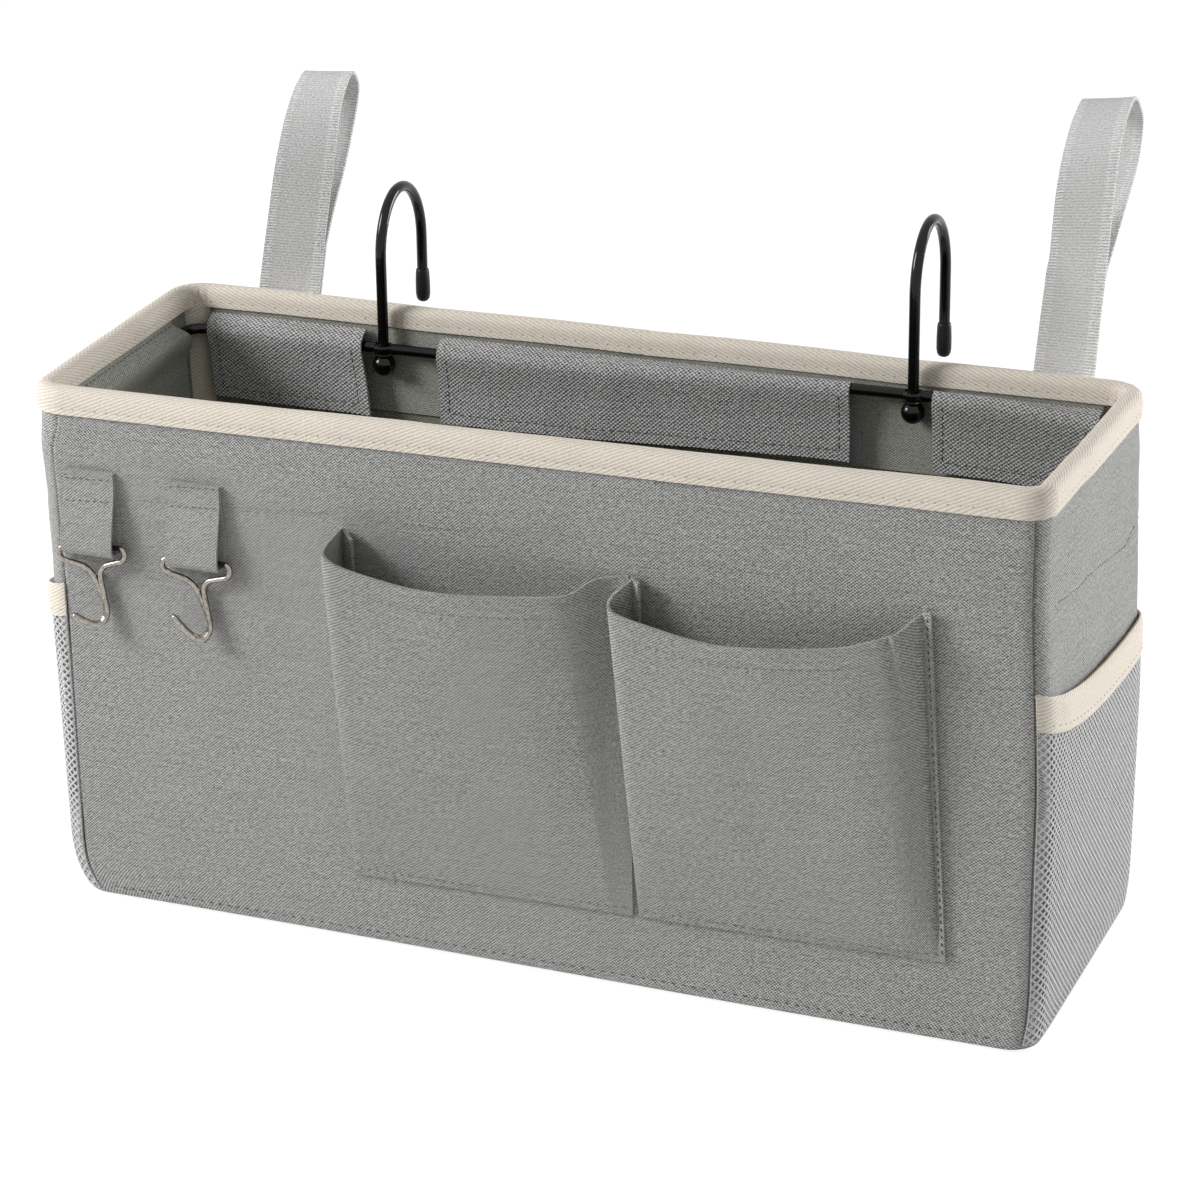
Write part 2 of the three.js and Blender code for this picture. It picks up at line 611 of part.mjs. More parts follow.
// Front pockets: canvas pouches, pleated at the left, sewn at the right and along the foot.
// In plan a pouch leaves the panel at its left seam, turns at a fold and comes back to its right seam.
const pocketLeft = -WIDTH / 2 + POCKET_LEFT_INSET;
const pocketRight = WIDTH / 2 - POCKET_RIGHT_INSET;
const pocketMiddle = (pocketLeft + pocketRight) / 2;
const pocketTop = HEIGHT - POCKET_TOP_DROP;
const pocketSeam = CLEARANCE + CANVAS / 2;
function pocket(west, east) {
  const length = east - west;
  const planAt = (up) => {
    const mouth = POCKET_MOUTH * up;
    const edge = CLEARANCE + (CANVAS / 2) * (1 - up);
    const turns = [
      [0, edge],
      [POCKET_FOLD * (POCKET_PLEAT.foot - POCKET_PLEAT.loss * up), pocketSeam + POCKET_PLEAT.out * mouth],
      [POCKET_FOLD, pocketSeam + mouth],
      ...POCKET_CROWN.map(([along, out]) => [along * length, pocketSeam + out * mouth]),
      [length, pocketSeam],
    ].map(([along, out]) => new THREE.Vector3(along, out, 0));
    return new THREE.CatmullRomCurve3(turns, false, 'centripetal');
  };
  return sheet(18, 8, (across, through, up, point) => {
    const plan = planAt(up);
    const spot = plan.getPoint(across);
    const tangent = plan.getTangent(across);
    const inside = CANVAS * (through - 0.5);
    const along = spot.x + tangent.y * inside;
    const out = spot.y - tangent.x * inside;
    const share = THREE.MathUtils.clamp(spot.x / length, 0, 1);
    const top = pocketTop - POCKET_SAG * Math.sin(Math.PI * share) ** POCKET_SAG_TAPER;
    point.set(west + along, -DEPTH / 2 - out, POCKET_FOOT + up * (top - POCKET_FOOT));
  });
}
add('front_pocket_left', pocket(pocketLeft, pocketMiddle - pocketSeam), CANVAS_GREY);
add('front_pocket_right', pocket(pocketMiddle + pocketSeam, pocketRight), CANVAS_GREY);

// Tabs: a folded strip sewn to the front, with a puffed loop below that holds the bar of a small hook
const tabBore = SMALL_WIRE_RADIUS + SMALL_WIRE_SLACK;
const tabRound = tabBore + TAB_PLY;
const barOut = CLEARANCE + tabRound;
const barHeight = HEIGHT - TAB_TOP_DROP - TAB_SEWN_LENGTH - TAB_LOOP_LENGTH;
function tabProfile() {
  const sewn = -CLEARANCE - 2 * TAB_PLY;
  const top = TAB_LOOP_LENGTH + TAB_SEWN_LENGTH;
  const puff = TAB_LOOP_LENGTH / 2;
  const shape = new THREE.Shape();
  shape.moveTo(-CLEARANCE, 0);
  shape.lineTo(-CLEARANCE, top);
  shape.lineTo(sewn, top);
  shape.lineTo(sewn, TAB_LOOP_LENGTH);
  shape.quadraticCurveTo(-barOut - tabRound - TAB_PUFF, puff, -barOut - tabRound, 0);
  shape.absarc(-barOut, 0, tabRound, Math.PI, 2 * Math.PI);
  const space = new THREE.Path();
  space.moveTo(-CLEARANCE - TAB_PLY, 0);
  space.lineTo(-CLEARANCE - TAB_PLY, TAB_LOOP_LENGTH - TAB_PLY);
  space.quadraticCurveTo(-barOut - tabBore - TAB_PUFF, puff, -barOut - tabBore, 0);
  space.absarc(-barOut, 0, tabBore, Math.PI, 2 * Math.PI);
  shape.holes.push(space);
  return shape;
}
// A small hook is one doubled wire: a bar in the loop, two legs drawn together, a turned-up double hook.
function smallHook() {
  const strand = SMALL_WIRE_RADIUS + CLEARANCE / 2;
  const shoulder = TAB_WIDTH / 2 + SMALL_HOOK_SHOULDER;
  const legStart = tabRound + 2 * SMALL_WIRE_RADIUS;
  const turn = SMALL_HOOK_REACH / 2;
  const half = (sign) => [
    { at: [sign * CLEARANCE, 0, 0] },
    { at: [sign * shoulder, 0, 0], radius: SMALL_SHOULDER_BEND },
    { at: [sign * shoulder, 0, -legStart], radius: SMALL_LEG_BEND },
    { at: [sign * strand, 0, -SMALL_HOOK_NECK], radius: SMALL_NECK_BEND },
    { at: [sign * strand, 0, -SMALL_HOOK_DROP], radius: turn },
    { at: [sign * strand, -SMALL_HOOK_REACH, -SMALL_HOOK_DROP], radius: turn },
    { at: [sign * strand, -SMALL_HOOK_REACH, SMALL_HOOK_TIP - SMALL_HOOK_DROP], radius: strand },
  ];
  return wire([...half(1), ...half(-1).reverse()], SMALL_WIRE_RADIUS, 6, 4);
}
const tabFirst = -WIDTH / 2 + TAB_INSET;
for (const [name, x] of [['left', tabFirst], ['right', tabFirst + TAB_PITCH]]) {
  const tab = runAlongX(tabProfile(), x - TAB_WIDTH / 2, x + TAB_WIDTH / 2);
  add(`hook_tab_${name}`, tab.translate(0, -DEPTH / 2, barHeight), CANVAS_GREY);
  add(`accessory_hook_${name}`, smallHook().translate(x, -DEPTH / 2 - barOut, barHeight), NICKEL);
}

export default caddy;
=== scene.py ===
import bisect
import math

import bmesh
import bpy
from mathutils import Matrix, Vector, noise
from mathutils.geometry import interpolate_bezier


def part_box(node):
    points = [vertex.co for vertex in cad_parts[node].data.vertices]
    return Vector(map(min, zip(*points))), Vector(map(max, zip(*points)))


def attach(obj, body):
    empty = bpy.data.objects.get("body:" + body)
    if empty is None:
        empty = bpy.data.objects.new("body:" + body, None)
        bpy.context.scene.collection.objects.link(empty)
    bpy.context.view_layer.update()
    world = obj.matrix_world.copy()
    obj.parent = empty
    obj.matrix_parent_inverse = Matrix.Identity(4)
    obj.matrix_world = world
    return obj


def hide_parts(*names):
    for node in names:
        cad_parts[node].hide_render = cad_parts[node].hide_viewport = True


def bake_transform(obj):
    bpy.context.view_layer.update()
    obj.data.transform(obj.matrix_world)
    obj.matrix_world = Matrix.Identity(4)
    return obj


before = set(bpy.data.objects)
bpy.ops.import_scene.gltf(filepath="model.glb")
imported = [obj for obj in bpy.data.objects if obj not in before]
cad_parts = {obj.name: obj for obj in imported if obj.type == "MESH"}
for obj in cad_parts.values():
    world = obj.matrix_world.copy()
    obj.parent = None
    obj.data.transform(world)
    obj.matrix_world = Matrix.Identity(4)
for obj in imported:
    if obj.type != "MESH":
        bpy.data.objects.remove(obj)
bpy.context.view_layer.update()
scene = bpy.context.scene
scene.view_settings.view_transform = "Standard"


# Camera: a long lens that looks down past the front right corner, as for a catalogue picture.
# Its turn, height and roll were fitted to the basket's edges, for a square picture of 1200 pixels.
MM = 0.001
PICTURE = 1200
SENSOR = 36
FOCAL_PIXELS = 3837.7057
CAMERA_TURNS = (21.98822, 21.33398, -0.70579)
EYE_BACK = 1544.11412
EYE_RIGHT = 3.21525
EYE_ABOVE = 117.51515
SIGHT = 30
turn, rise, roll = (math.radians(angle) for angle in CAMERA_TURNS)
back = Vector((math.sin(turn) * math.cos(rise), -math.cos(turn) * math.cos(rise), math.sin(rise)))
level = Vector((math.cos(turn), math.sin(turn), 0))
upward = back.cross(level)
right = math.cos(roll) * level + math.sin(roll) * upward
above = math.cos(roll) * upward - math.sin(roll) * level
eye = (back * EYE_BACK + right * EYE_RIGHT + above * EYE_ABOVE) * MM
lens = bpy.data.cameras.new("camera")
lens.sensor_width = SENSOR
lens.lens = SENSOR * FOCAL_PIXELS / PICTURE
lens.clip_end = SIGHT
camera = bpy.data.objects.new("camera", lens)
camera.matrix_world = Matrix.Translation(eye) @ Matrix((right, above, back)).transposed().to_4x4()
scene.collection.objects.link(camera)
scene.camera = camera


# Studio: a white floor and an even white sky, with two large soft lamps far to the left and at the right.
# The eye, and the metal, see floor and sky as white, and the floor still takes the caddy's shadow.
SKY_LEVEL = 0.34
FLOOR_WHITE = "#f2f2f2"
FLOOR_SHADED = "#8a8a8a"
FLOOR_LIFT = 0.9
FLOOR_HALF = 5
FLOOR_DROP = 0.4
LAMPS = (("left lamp", (-1.55, -0.85, 1.1), 31), ("right lamp", (1.35, 1.15, 0.45), 22))
LAMP_SIZE = 0.8
LAMP_AIM = (0, 0, 0.11)


def linear(code):
    """An sRGB hex colour as the linear red, green, blue and alpha that shaders take."""
    parts = [int(code[start:start + 2], 16) / 255 for start in (1, 3, 5)]
    return [part / 12.92 if part <= 0.04045 else ((part + 0.055) / 1.055) ** 2.4 for part in parts] + [1]


def feed(tree, taker, inputs):
    """Give a node's inputs their values, or link them to the sockets that feed them."""
    for name, value in inputs.items():
        if isinstance(value, bpy.types.NodeSocket):
            tree.links.new(value, taker.inputs[name])
        else:
            taker.inputs[name].default_value = value


def add_node(tree, kind, inputs=None, out=0, **settings):
    """An output of a new shader node that has its settings and its inputs."""
    made = tree.nodes.new("ShaderNode" + kind)
    for name, value in settings.items():
        setattr(made, name, value)
    feed(tree, made, inputs or {})
    return made.outputs[out]


def maths(tree, operation, *values):
    """The result of one step of arithmetic on values and sockets."""
    return add_node(tree, "Math", dict(enumerate(values)), operation=operation)


def mixed(tree, share, first, last):
    """A colour that lies between two hex colours by a share."""
    return add_node(tree, "MixRGB", {"Fac": share, "Color1": linear(first), "Color2": linear(last)})


def new_material(name):
    """A material, its node tree and the shader of its surface."""
    material = bpy.data.materials.new(name)
    material.use_nodes = True
    return material, material.node_tree, material.node_tree.nodes["Principled BSDF"]


def seen_directly(tree):
    """One for the rays of the eye, of gloss and through glass, and zero for those that light things."""
    rays = add_node(tree, "LightPath").node.outputs
    shiny = maths(tree, "MAXIMUM", rays["Is Glossy Ray"], rays["Is Transmission Ray"])
    return maths(tree, "MAXIMUM", rays["Is Camera Ray"], shiny)


sky = bpy.data.worlds.new("white sky")
sky.use_nodes = True
sky_seen = seen_directly(sky.node_tree)
sky_level = add_node(sky.node_tree, "MapRange", {"Value": sky_seen, "To Min": SKY_LEVEL, "To Max": 1.0})
feed(sky.node_tree, sky.node_tree.nodes["Background"], {"Color": linear("#ffffff"), "Strength": sky_level})
scene.world = sky

paper, paper_tree, paper_shader = new_material("white studio paper")
paper_seen = seen_directly(paper_tree)
feed(paper_tree, paper_shader, {
    "Base Color": mixed(paper_tree, paper_seen, FLOOR_WHITE, FLOOR_SHADED),
    "Roughness": 1.0,
    "Specular IOR Level": 0.0,
    "Emission Color": linear("#ffffff"),
    "Emission Strength": maths(paper_tree, "MULTIPLY", paper_seen, FLOOR_LIFT),
})


def finish_mesh(bm, name, finish):
    """A bmesh made into an object in the scene, with its material."""
    mesh = bpy.data.meshes.new(name)
    bm.to_mesh(mesh)
    bm.free()
    made = bpy.data.objects.new(name, mesh)
    mesh.materials.append(finish)
    scene.collection.objects.link(made)
    return made


floor_mesh = bmesh.new()
bmesh.ops.create_grid(floor_mesh, x_segments=1, y_segments=1, size=FLOOR_HALF,
                      matrix=Matrix.Translation((0, 0, -FLOOR_DROP * MM)))
finish_mesh(floor_mesh, "floor", paper)

for lamp_name, lamp_place, lamp_power in LAMPS:
    lamp_data = bpy.data.lights.new(lamp_name, "AREA")
    lamp_data.shape = "DISK"
    lamp_data.size = LAMP_SIZE
    lamp_data.energy = lamp_power
    lamp = bpy.data.objects.new(lamp_name, lamp_data)
    aim = Vector(LAMP_AIM) - Vector(lamp_place)
    lamp.matrix_world = Matrix.Translation(lamp_place) @ aim.to_track_quat("-Z", "Y").to_matrix().to_4x4()
    scene.collection.objects.link(lamp)


# Outer walls: four panels of heavy grey canvas, a plain cotton and polyester weave with slubs in the weft.
# They are sewn edge to edge inside out and turned, so each corner is a soft round beside a sunk seam.
CORNER = 9.0
CORNER_FOOT = {"front_left": 5.0, "front_right": 3.0, "rear_left": 5.0, "rear_right": 4.0}
CORNER_RIM = {"front_left": 4.0, "front_right": 0.5, "rear_left": 6.0, "rear_right": 4.0}
RIM_EASE = (188.0, 206.0)
FOOT_HEIGHT = 16.0
FOOT_ROLL = 2.0
CANVAS = 1.2
CANVAS_FOOT = 1.0
CANVAS_TOP = 212.0
FACING_SEAMS = {
    "front": ((-400, 171), (-118, 173.9), (-43, 176.7), (-6, 176.2), (65, 174.8), (134, 172.5), (400, 172)),
    "right": ((-80, 173), (-40, 167.5), (-24, 166), (-9, 165), (11, 163), (30, 160), (45, 158.7), (53, 162),
              (62, 164), (80, 165)),
    "back": ((-400, 170), (400, 170)),
    "left": ((-80, 165), (-62, 164), (-50, 160), (-30, 161), (0, 164.5), (40, 167.5), (80, 172)),
}
SEAMS = {"front_left": (4.0, 0.5), "front_right": (34.0, 1.4), "rear_left": (25.0, 1.6),
         "rear_right": (25.0, 1.6)}
CORNERS = {
    "front": ("front_left", "front_right"),
    "right": ("front_right", "rear_right"),
    "back": ("rear_right", "rear_left"),
    "left": ("rear_left", "front_left"),
}
CANVAS_THREAD = (0.72, 0.6)
MOUTH = 216.0
END_SPAN = 90.0
SAME = 1e-9
MERGE = 0.02
SHARP = 50
PANEL_EASE = (0.86, 0.6)
WALL_RUMPLE = {"front": 0.35, "right": 0.9, "back": 0.5, "left": 0.9}
WALL_WAVE = 42
WALL_FREE = (30, 20)
SEAM_FOOT = 14
SEAM_WIDTH = 0.5
FACING_SINK = 0.35
FACING_SINK_WIDTH = 2.0
LEFT_LEAN = (5.8, 2.2)
LEFT_CURVE = (2.2, 0.9)
RIGHT_LEAN = 2.0
RIGHT_STAND = 4.4
RIGHT_STAND_SPAN = (90, 190)
FRONT_SKEW = 0.0131
FRONT_SKEW_FROM = -60
FRONT_BOW = 3.5
FRONT_BOW_SPAN = (-150, 150)
FRONT_BOW_FROM = 30
FOOT_TUCK = (5.0, 1.0)
TUCK_HEIGHT = 26.0


def node_box(node):
    """The low and the high corner of a node's box in the solid model, in millimetres."""
    return [Vector(corner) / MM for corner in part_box(node)]


HALF_X, HALF_Y = (round(size) for size in node_box("bottom_panel")[1].xy)
WALLS = {
    "front": (HALF_X, HALF_Y, 0),
    "right": (HALF_Y, HALF_X, 90),
    "back": (HALF_X, HALF_Y, 180),
    "left": (HALF_Y, HALF_X, 270),
}


def eased(value, start, end):
    """Nothing before a start and one after an end, with a soft change between."""
    share = min(1.0, max(0.0, (value - start) / (end - start)))
    return share * share * (3 - 2 * share)


def settled(place):
    """A place on the soft basket as it has settled: its ends tucked in at the foot and leaning out above."""
    high = max(0.0, place.z / MOUTH)
    rear = place.y / HALF_Y
    if place.x < 0:
        lean = (LEFT_LEAN[0] + LEFT_LEAN[1] * rear) * high ** (LEFT_CURVE[0] - LEFT_CURVE[1] * rear)
    else:
        lean = RIGHT_LEAN * high ** 2 + RIGHT_STAND * (1 - eased(place.z, *RIGHT_STAND_SPAN))
    low = max(0.0, 1 - place.z / TUCK_HEIGHT) ** 2
    lean -= FOOT_TUCK[place.x > 0] * low
    lean *= eased(abs(place.x), HALF_X - END_SPAN, HALF_X)
    skew = FRONT_SKEW * place.x * high ** 2 * eased(-place.y, FRONT_SKEW_FROM, HALF_Y)
    bow = FRONT_BOW * low * eased(place.x, *FRONT_BOW_SPAN) * eased(-place.y, FRONT_BOW_FROM, HALF_Y)
    return place + Vector((lean * math.copysign(1, place.x), -bow, skew))


def stand(side, along, inward, height):
    """A place given along a wall, in from its outer face, and up, turned to that wall's side."""
    reach, turned = WALLS[side][1:]
    return settled(Matrix.Rotation(math.radians(turned), 3, "Z") @ Vector((along, inward - reach, height)))


def wall_ends(side):
    """How far a wall's cloth runs from its middle to its two seams, which lie part way round the corners."""
    turns = [SEAMS[corner][0] for corner in CORNERS[side]]
    if side in ("left", "right"):
        turns = [90 - turn for turn in turns]
    first, last = (WALLS[side][0] - CORNER + CORNER * math.radians(turn) for turn in turns)
    return -first, last


def on_wall(side, distance, height, out=0.0):
    """A place on a wall's outer face, which follows the round corners and rolls under at the foot."""
    half = WALLS[side][0]
    low = max(0.0, 1 - height / FOOT_HEIGHT)
    corner = CORNERS[side][distance > 0]
    radius = CORNER + CORNER_FOOT[corner] * low * low + CORNER_RIM[corner] * eased(height, *RIM_EASE)
    under = max(0.0, FOOT_ROLL - height)
    out -= FOOT_ROLL - math.sqrt(FOOT_ROLL ** 2 - under ** 2)
    beyond = (abs(distance) - (half - CORNER)) / CORNER
    if beyond <= 0:
        return stand(side, distance * (half - radius) / (half - CORNER), -out, height)
    along = half - radius + (radius + out) * math.sin(beyond)
    return stand(side, math.copysign(along, distance), radius - (radius + out) * math.cos(beyond), height)


def ripple(distance, height, seed, wave):
    """Slow unevenness of a cloth, from about minus one to one: long waves with shorter ones on them."""
    shorter = noise.noise((distance * 2.6 / wave, 2 * height / wave, seed + 9))
    return noise.noise((distance / wave, height / wave, seed)) + 0.4 * shorter


def dent(away, width):
    """One on a line, falling softly to nothing at a few widths away."""
    return math.exp(-(away / width) ** 2)


def between(share, stops):
    """A value read off between the nearest two of some stops, each a share and a value."""
    for (low, first), (high, last) in zip(stops, stops[1:]):
        if share <= high:
            break
    return first + (last - first) * (share - low) / (high - low)


def facing_seam(side, distance):
    """The height at which the facing inside the mouth is sewn through a wall."""
    return between(distance, FACING_SEAMS[side])


def wall_out(side, distance, height):
    """How far a wall's face stands out: slow rumples, less the drawn-in seams at its ends and its facing."""
    free = min(1.0, (CANVAS_TOP - height) / WALL_FREE[0], height / WALL_FREE[1])
    out = WALL_RUMPLE[side] * free * ripple(distance, height, list(WALLS).index(side), WALL_WAVE)
    drawn = min(1.0, height / SEAM_FOOT)
    out -= sum(drawn * SEAMS[corner][1] * dent(distance - end, SEAM_WIDTH)
               for corner, end in zip(CORNERS[side], wall_ends(side)))
    return out - FACING_SINK * dent(height - facing_seam(side, distance), FACING_SINK_WIDTH)


def wrap_edges(bm, cut, thickness):
    """Carry the weave over the cloth's cut edges, whose faces would else show it as stripes."""
    def apart(loops, first, last):
        return (loops[first][cut].uv - loops[last][cut].uv).length

    for face in bm.faces:
        loops = list(face.loops)
        if len(loops) != 4 or apart(loops, 0, 2) < SAME:
            continue
        if apart(loops, 0, 1) < SAME:
            loops = loops[1:] + loops[:1]
        if apart(loops, 1, 2) > SAME or apart(loops, 3, 0) > SAME:
            continue
        way = (loops[1][cut].uv - loops[0][cut].uv).normalized()
        for loop in loops[2:]:
            loop[cut].uv += Vector((-way.y, way.x)) * thickness * MM


def fit(piece, body, slot, *nodes):
    """Fix a piece to its body, in place of nodes of the solid model; the slot of its material is not used.
    """
    if body:
        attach(piece, body)
    if nodes:
        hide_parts(*nodes)


def cloth(name, place, flat, cells, thickness, finish, replaced, slot,
          rides="basket", ease=(0, 0), joined=False):
    """A sheet of cloth: a flat grid in shares of its cut, moved to its places and given its thickness.

    The places are those of its outer face. Ease draws the grid's lines together towards the edges.
    A cloth that rides on nothing here is fixed to no body."""
    bm = bmesh.new()
    bmesh.ops.create_grid(bm, x_segments=cells[0], y_segments=cells[1], size=0.5)
    cut = bm.loops.layers.uv.new("cut")
    shares = {}
    for vert in bm.verts:
        even = (vert.co.x + 0.5, vert.co.y + 0.5)
        shares[vert] = [part - pull * math.sin(math.tau * part) / math.tau for part, pull in zip(even, ease)]
    for face in bm.faces:
        face.smooth = True
        for loop in face.loops:
            loop[cut].uv = [part * side * MM for part, side in zip(shares[loop.vert], flat)]
    for vert, (across, along) in shares.items():
        vert.co = place(across, along) * MM
    if joined:
        bmesh.ops.remove_doubles(bm, verts=bm.verts, dist=MERGE * MM)
    bm.normal_update()
    bmesh.ops.solidify(bm, geom=bm.faces[:], thickness=thickness * MM)
    wrap_edges(bm, cut, thickness)
    piece = finish_mesh(bm, name, finish)
    piece.data.set_sharp_from_angle(angle=math.radians(SHARP))
    fit(piece, rides, slot, *replaced)
    return piece


def paint(tree, shader, tone, colours, depth, roughness, gloss, sheen=0.0, sheen_spread=0.5):
    """Colour and raise a surface by one tone, from its dark hollows to its light crests."""
    feed(tree, shader, {
        "Base Color": mixed(tree, tone, *colours),
        "Normal": add_node(tree, "Bump", {"Height": tone, "Strength": 1.0, "Distance": depth * MM}),
        "Roughness": roughness,
        "Specular IOR Level": gloss,
        "Sheen Weight": sheen,
        "Sheen Roughness": sheen_spread,
    })


def ribbed(tree, place, gap, way, distortion, fineness):
    """Ribs a gap apart across a way, a little broken."""
    inputs = {"Vector": place, "Scale": math.pi / (10 * gap * MM), "Distortion": distortion}
    inputs.update({"Detail": 2.0, "Detail Scale": fineness})
    return add_node(tree, "TexWave", inputs, "Fac", bands_direction=way)


def grained(tree, place, scale, detail, roughness=0.5):
    """Irregular grains of a scale."""
    inputs = {"Vector": place, "Scale": scale, "Detail": detail, "Roughness": roughness}
    return add_node(tree, "TexNoise", inputs, "Fac")


def woven(name, dark, light, thread, slub, depth):
    """Plain-woven cloth: threads over and under, short thick places along the weft, and a dull, fuzzy face.

    The threads, given as their width across and up, are drawn at about twice the real ones, to show.
    The grains are each a size in millimetres and a weight."""
    material, tree, shader = new_material(name)
    cut = add_node(tree, "TexCoord", out="UV")
    threads = [maths(tree, "ADD", ribbed(tree, cut, 2 * gap, way, 0.7, 3.0), -0.5)
               for way, gap in zip("XY", thread)]
    grains = (((2.2, 0.75, 1.0), 1.3), ((0.75, 1.8, 1.0), 0.9), ((0.6, 0.6, 1.0), 1.1),
              ((28.0, 0.8, 1.0), 0.5))
    middle = 0.5 - 0.5 * slub * sum(weight for _, weight in grains)
    tone = maths(tree, "MULTIPLY_ADD", maths(tree, "MULTIPLY", *threads), 2.5, middle)
    for grain_size, weight in grains:
        stretch = add_node(tree, "Mapping",
                           {"Vector": cut, "Scale": [1 / (side * MM) for side in grain_size]})
        tone = maths(tree, "MULTIPLY_ADD", grained(tree, stretch, 1.0, 2.0, 0.6), slub * weight, tone)
    paint(tree, shader, tone, (dark, light), depth, 0.95, 0.15, 0.1, 0.6)
    return material


canvas = woven("grey woven canvas", "#5e5e5d", "#d4d4d1", CANVAS_THREAD, 1.0, 0.17)

for panel_side in WALLS:
    panel_ends = wall_ends(panel_side)
    panel_length = panel_ends[1] - panel_ends[0]

    def panel_place(across, along, side=panel_side, ends=panel_ends):
        distance = ends[0] + (ends[1] - ends[0]) * across
        height = CANVAS_FOOT + (CANVAS_TOP - CANVAS_FOOT) * along
        return on_wall(side, distance, height, wall_out(side, distance, height))

    cloth(panel_side + "_wall", panel_place, (panel_length, CANVAS_TOP), (int(panel_length / 3), 84), CANVAS,
          canvas, [panel_side + "_panel"], "canvas", ease=PANEL_EASE)


# Base: one more panel of the same canvas under the bottom board, sewn to the feet of the four walls.
# It is flat, its outline follows the feet of the walls round the corners, and the caddy rests on it.
BASE_EDGE = 0.5
BASE_STEPS = 60


def foot_plate(name, inward, height, thickness, finish):
    """A flat plate that fills the basket at a height, its edge a little in from the walls' outer faces."""
    bm = bmesh.new()
    edge = []
    for side in WALLS:
        first, last = wall_ends(side)
        for step in range(BASE_STEPS):
            place = on_wall(side, first + (last - first) * step / BASE_STEPS, height, -inward)
            edge.append(bm.verts.new((place.x * MM, place.y * MM, height * MM)))
    plate = bm.faces.new(reversed(edge))
    cut = bm.loops.layers.uv.new("cut")
    for loop in plate.loops:
        loop[cut].uv = loop.vert.co.xy
    bm.normal_update()
    bmesh.ops.solidify(bm, geom=bm.faces[:], thickness=thickness * MM)
    return finish_mesh(bm, name, finish)


base_cloth = foot_plate("base_cloth", BASE_EDGE, 0, CANVAS, canvas)
fit(base_cloth, "basket", "canvas", "bottom_panel")


# Stiffeners: pressed grey board in the front, back and bottom, and stiff needled felt in the two sides.
# They stand loose between the canvas and the lining, with round corners, and only keep the basket upright.
BOARD_CORNER = 14.0
BOARD_SHRINK = 1.5
BOARD_EDGE = 2.2
FELT = 2.0
FELT_INSET = 1.5
FELT_FOOT = 8.0
FELT_SHRINK = 4


def mottled(name, dark, light, spot, depth, roughness):
    """A dull material with fine irregular spots, such as pressed board, felt or brushed loops."""
    material, tree, shader = new_material(name)
    spots = grained(tree, add_node(tree, "TexCoord", out="Object"), 1 / (spot * MM), 4.0, 0.7)
    sharper = add_node(tree, "MapRange", {"Value": spots, "From Min": 0.3, "From Max": 0.7})
    paint(tree, shader, sharper, (dark, light), depth, roughness, 0.2)
    return material


def upright_plate(name, middle, half_sizes, thickness, corner, finish):
    """A flat plate with round corners that stands with its outer face to the front."""
    bm = bmesh.new()
    bmesh.ops.create_grid(bm, x_segments=1, y_segments=1, size=MM)
    bmesh.ops.scale(bm, vec=(*half_sizes, 1), verts=bm.verts)
    bmesh.ops.bevel(bm, geom=bm.verts[:], offset=corner * MM, segments=8, profile=0.5, material=-1,
                    affect="VERTICES")
    cut = bm.loops.layers.uv.new("cut")
    for face in bm.faces:
        for loop in face.loops:
            loop[cut].uv = loop.vert.co.xy
    bmesh.ops.rotate(bm, matrix=Matrix.Rotation(math.pi / 2, 3, "X"), verts=bm.verts)
    bm.normal_update()
    bmesh.ops.solidify(bm, geom=bm.faces[:], thickness=thickness * MM)
    bmesh.ops.translate(bm, vec=Vector(middle) * MM, verts=bm.verts)
    return finish_mesh(bm, name, finish)


pressed_board = mottled("pressed grey board", "#8a8378", "#a89f92", 1.5, 0.05, 0.85)
for board_name in ("front_board", "back_board", "bottom_board"):
    board_low, board_high = node_box(board_name)
    board_middle = (board_low + board_high) / 2
    board_half = (board_high - board_low) / 2
    if board_name == "bottom_board":
        board = foot_plate("bottom_stiffener", BOARD_EDGE, board_low.z, 2 * board_half.z, pressed_board)
    else:
        board = upright_plate(board_name.replace("board", "stiffener"), (0, board_low.y, board_middle.z),
                              (board_half.x - BOARD_SHRINK, board_half.z - BOARD_SHRINK), 2 * board_half.y,
                              BOARD_CORNER, pressed_board)
    fit(board, "basket", "board", board_name)

needled_felt = mottled("stiff needled felt", "#a7a5a0", "#d0cec8", 0.9, 0.06, 1.0)
for felt_side in ("left", "right"):
    felt_high = node_box(felt_side + "_interlining")[1]
    felt_half = felt_high.y - FELT_SHRINK
    felt_height = felt_high.z - FELT_SHRINK - FELT_FOOT
    cloth(felt_side + "_felt",
          lambda across, along, side=felt_side, half=felt_half, tall=felt_height: stand(
              side, half * (2 * across - 1), FELT_INSET, FELT_FOOT + tall * along),
          (2 * felt_half, felt_height), (8, 12), FELT, needled_felt, [felt_side + "_interlining"], "felt")


# Lining: a thinner plain cloth of a darker, greener grey, one piece for each wall and one for the bottom.
# It is caught at the rim under the binding and sewn along the corners, and lies smooth on the boards.
LINING = 0.8
LINING_FACE = 4.6
LINING_FOOT = 5.2
LINING_TOP = 212.2
LINING_CUT = 0.4
LINING_TUCK = 7
LINING_RUMPLE = 0.35
LINING_WAVE = 55
BASE_LINING_GAP = 0.1
LINING_THREAD = (1.1, 0.6)
lining_cloth = woven("grey lining cloth", "#626359", "#a6a79a", LINING_THREAD, 0.7, 0.06)

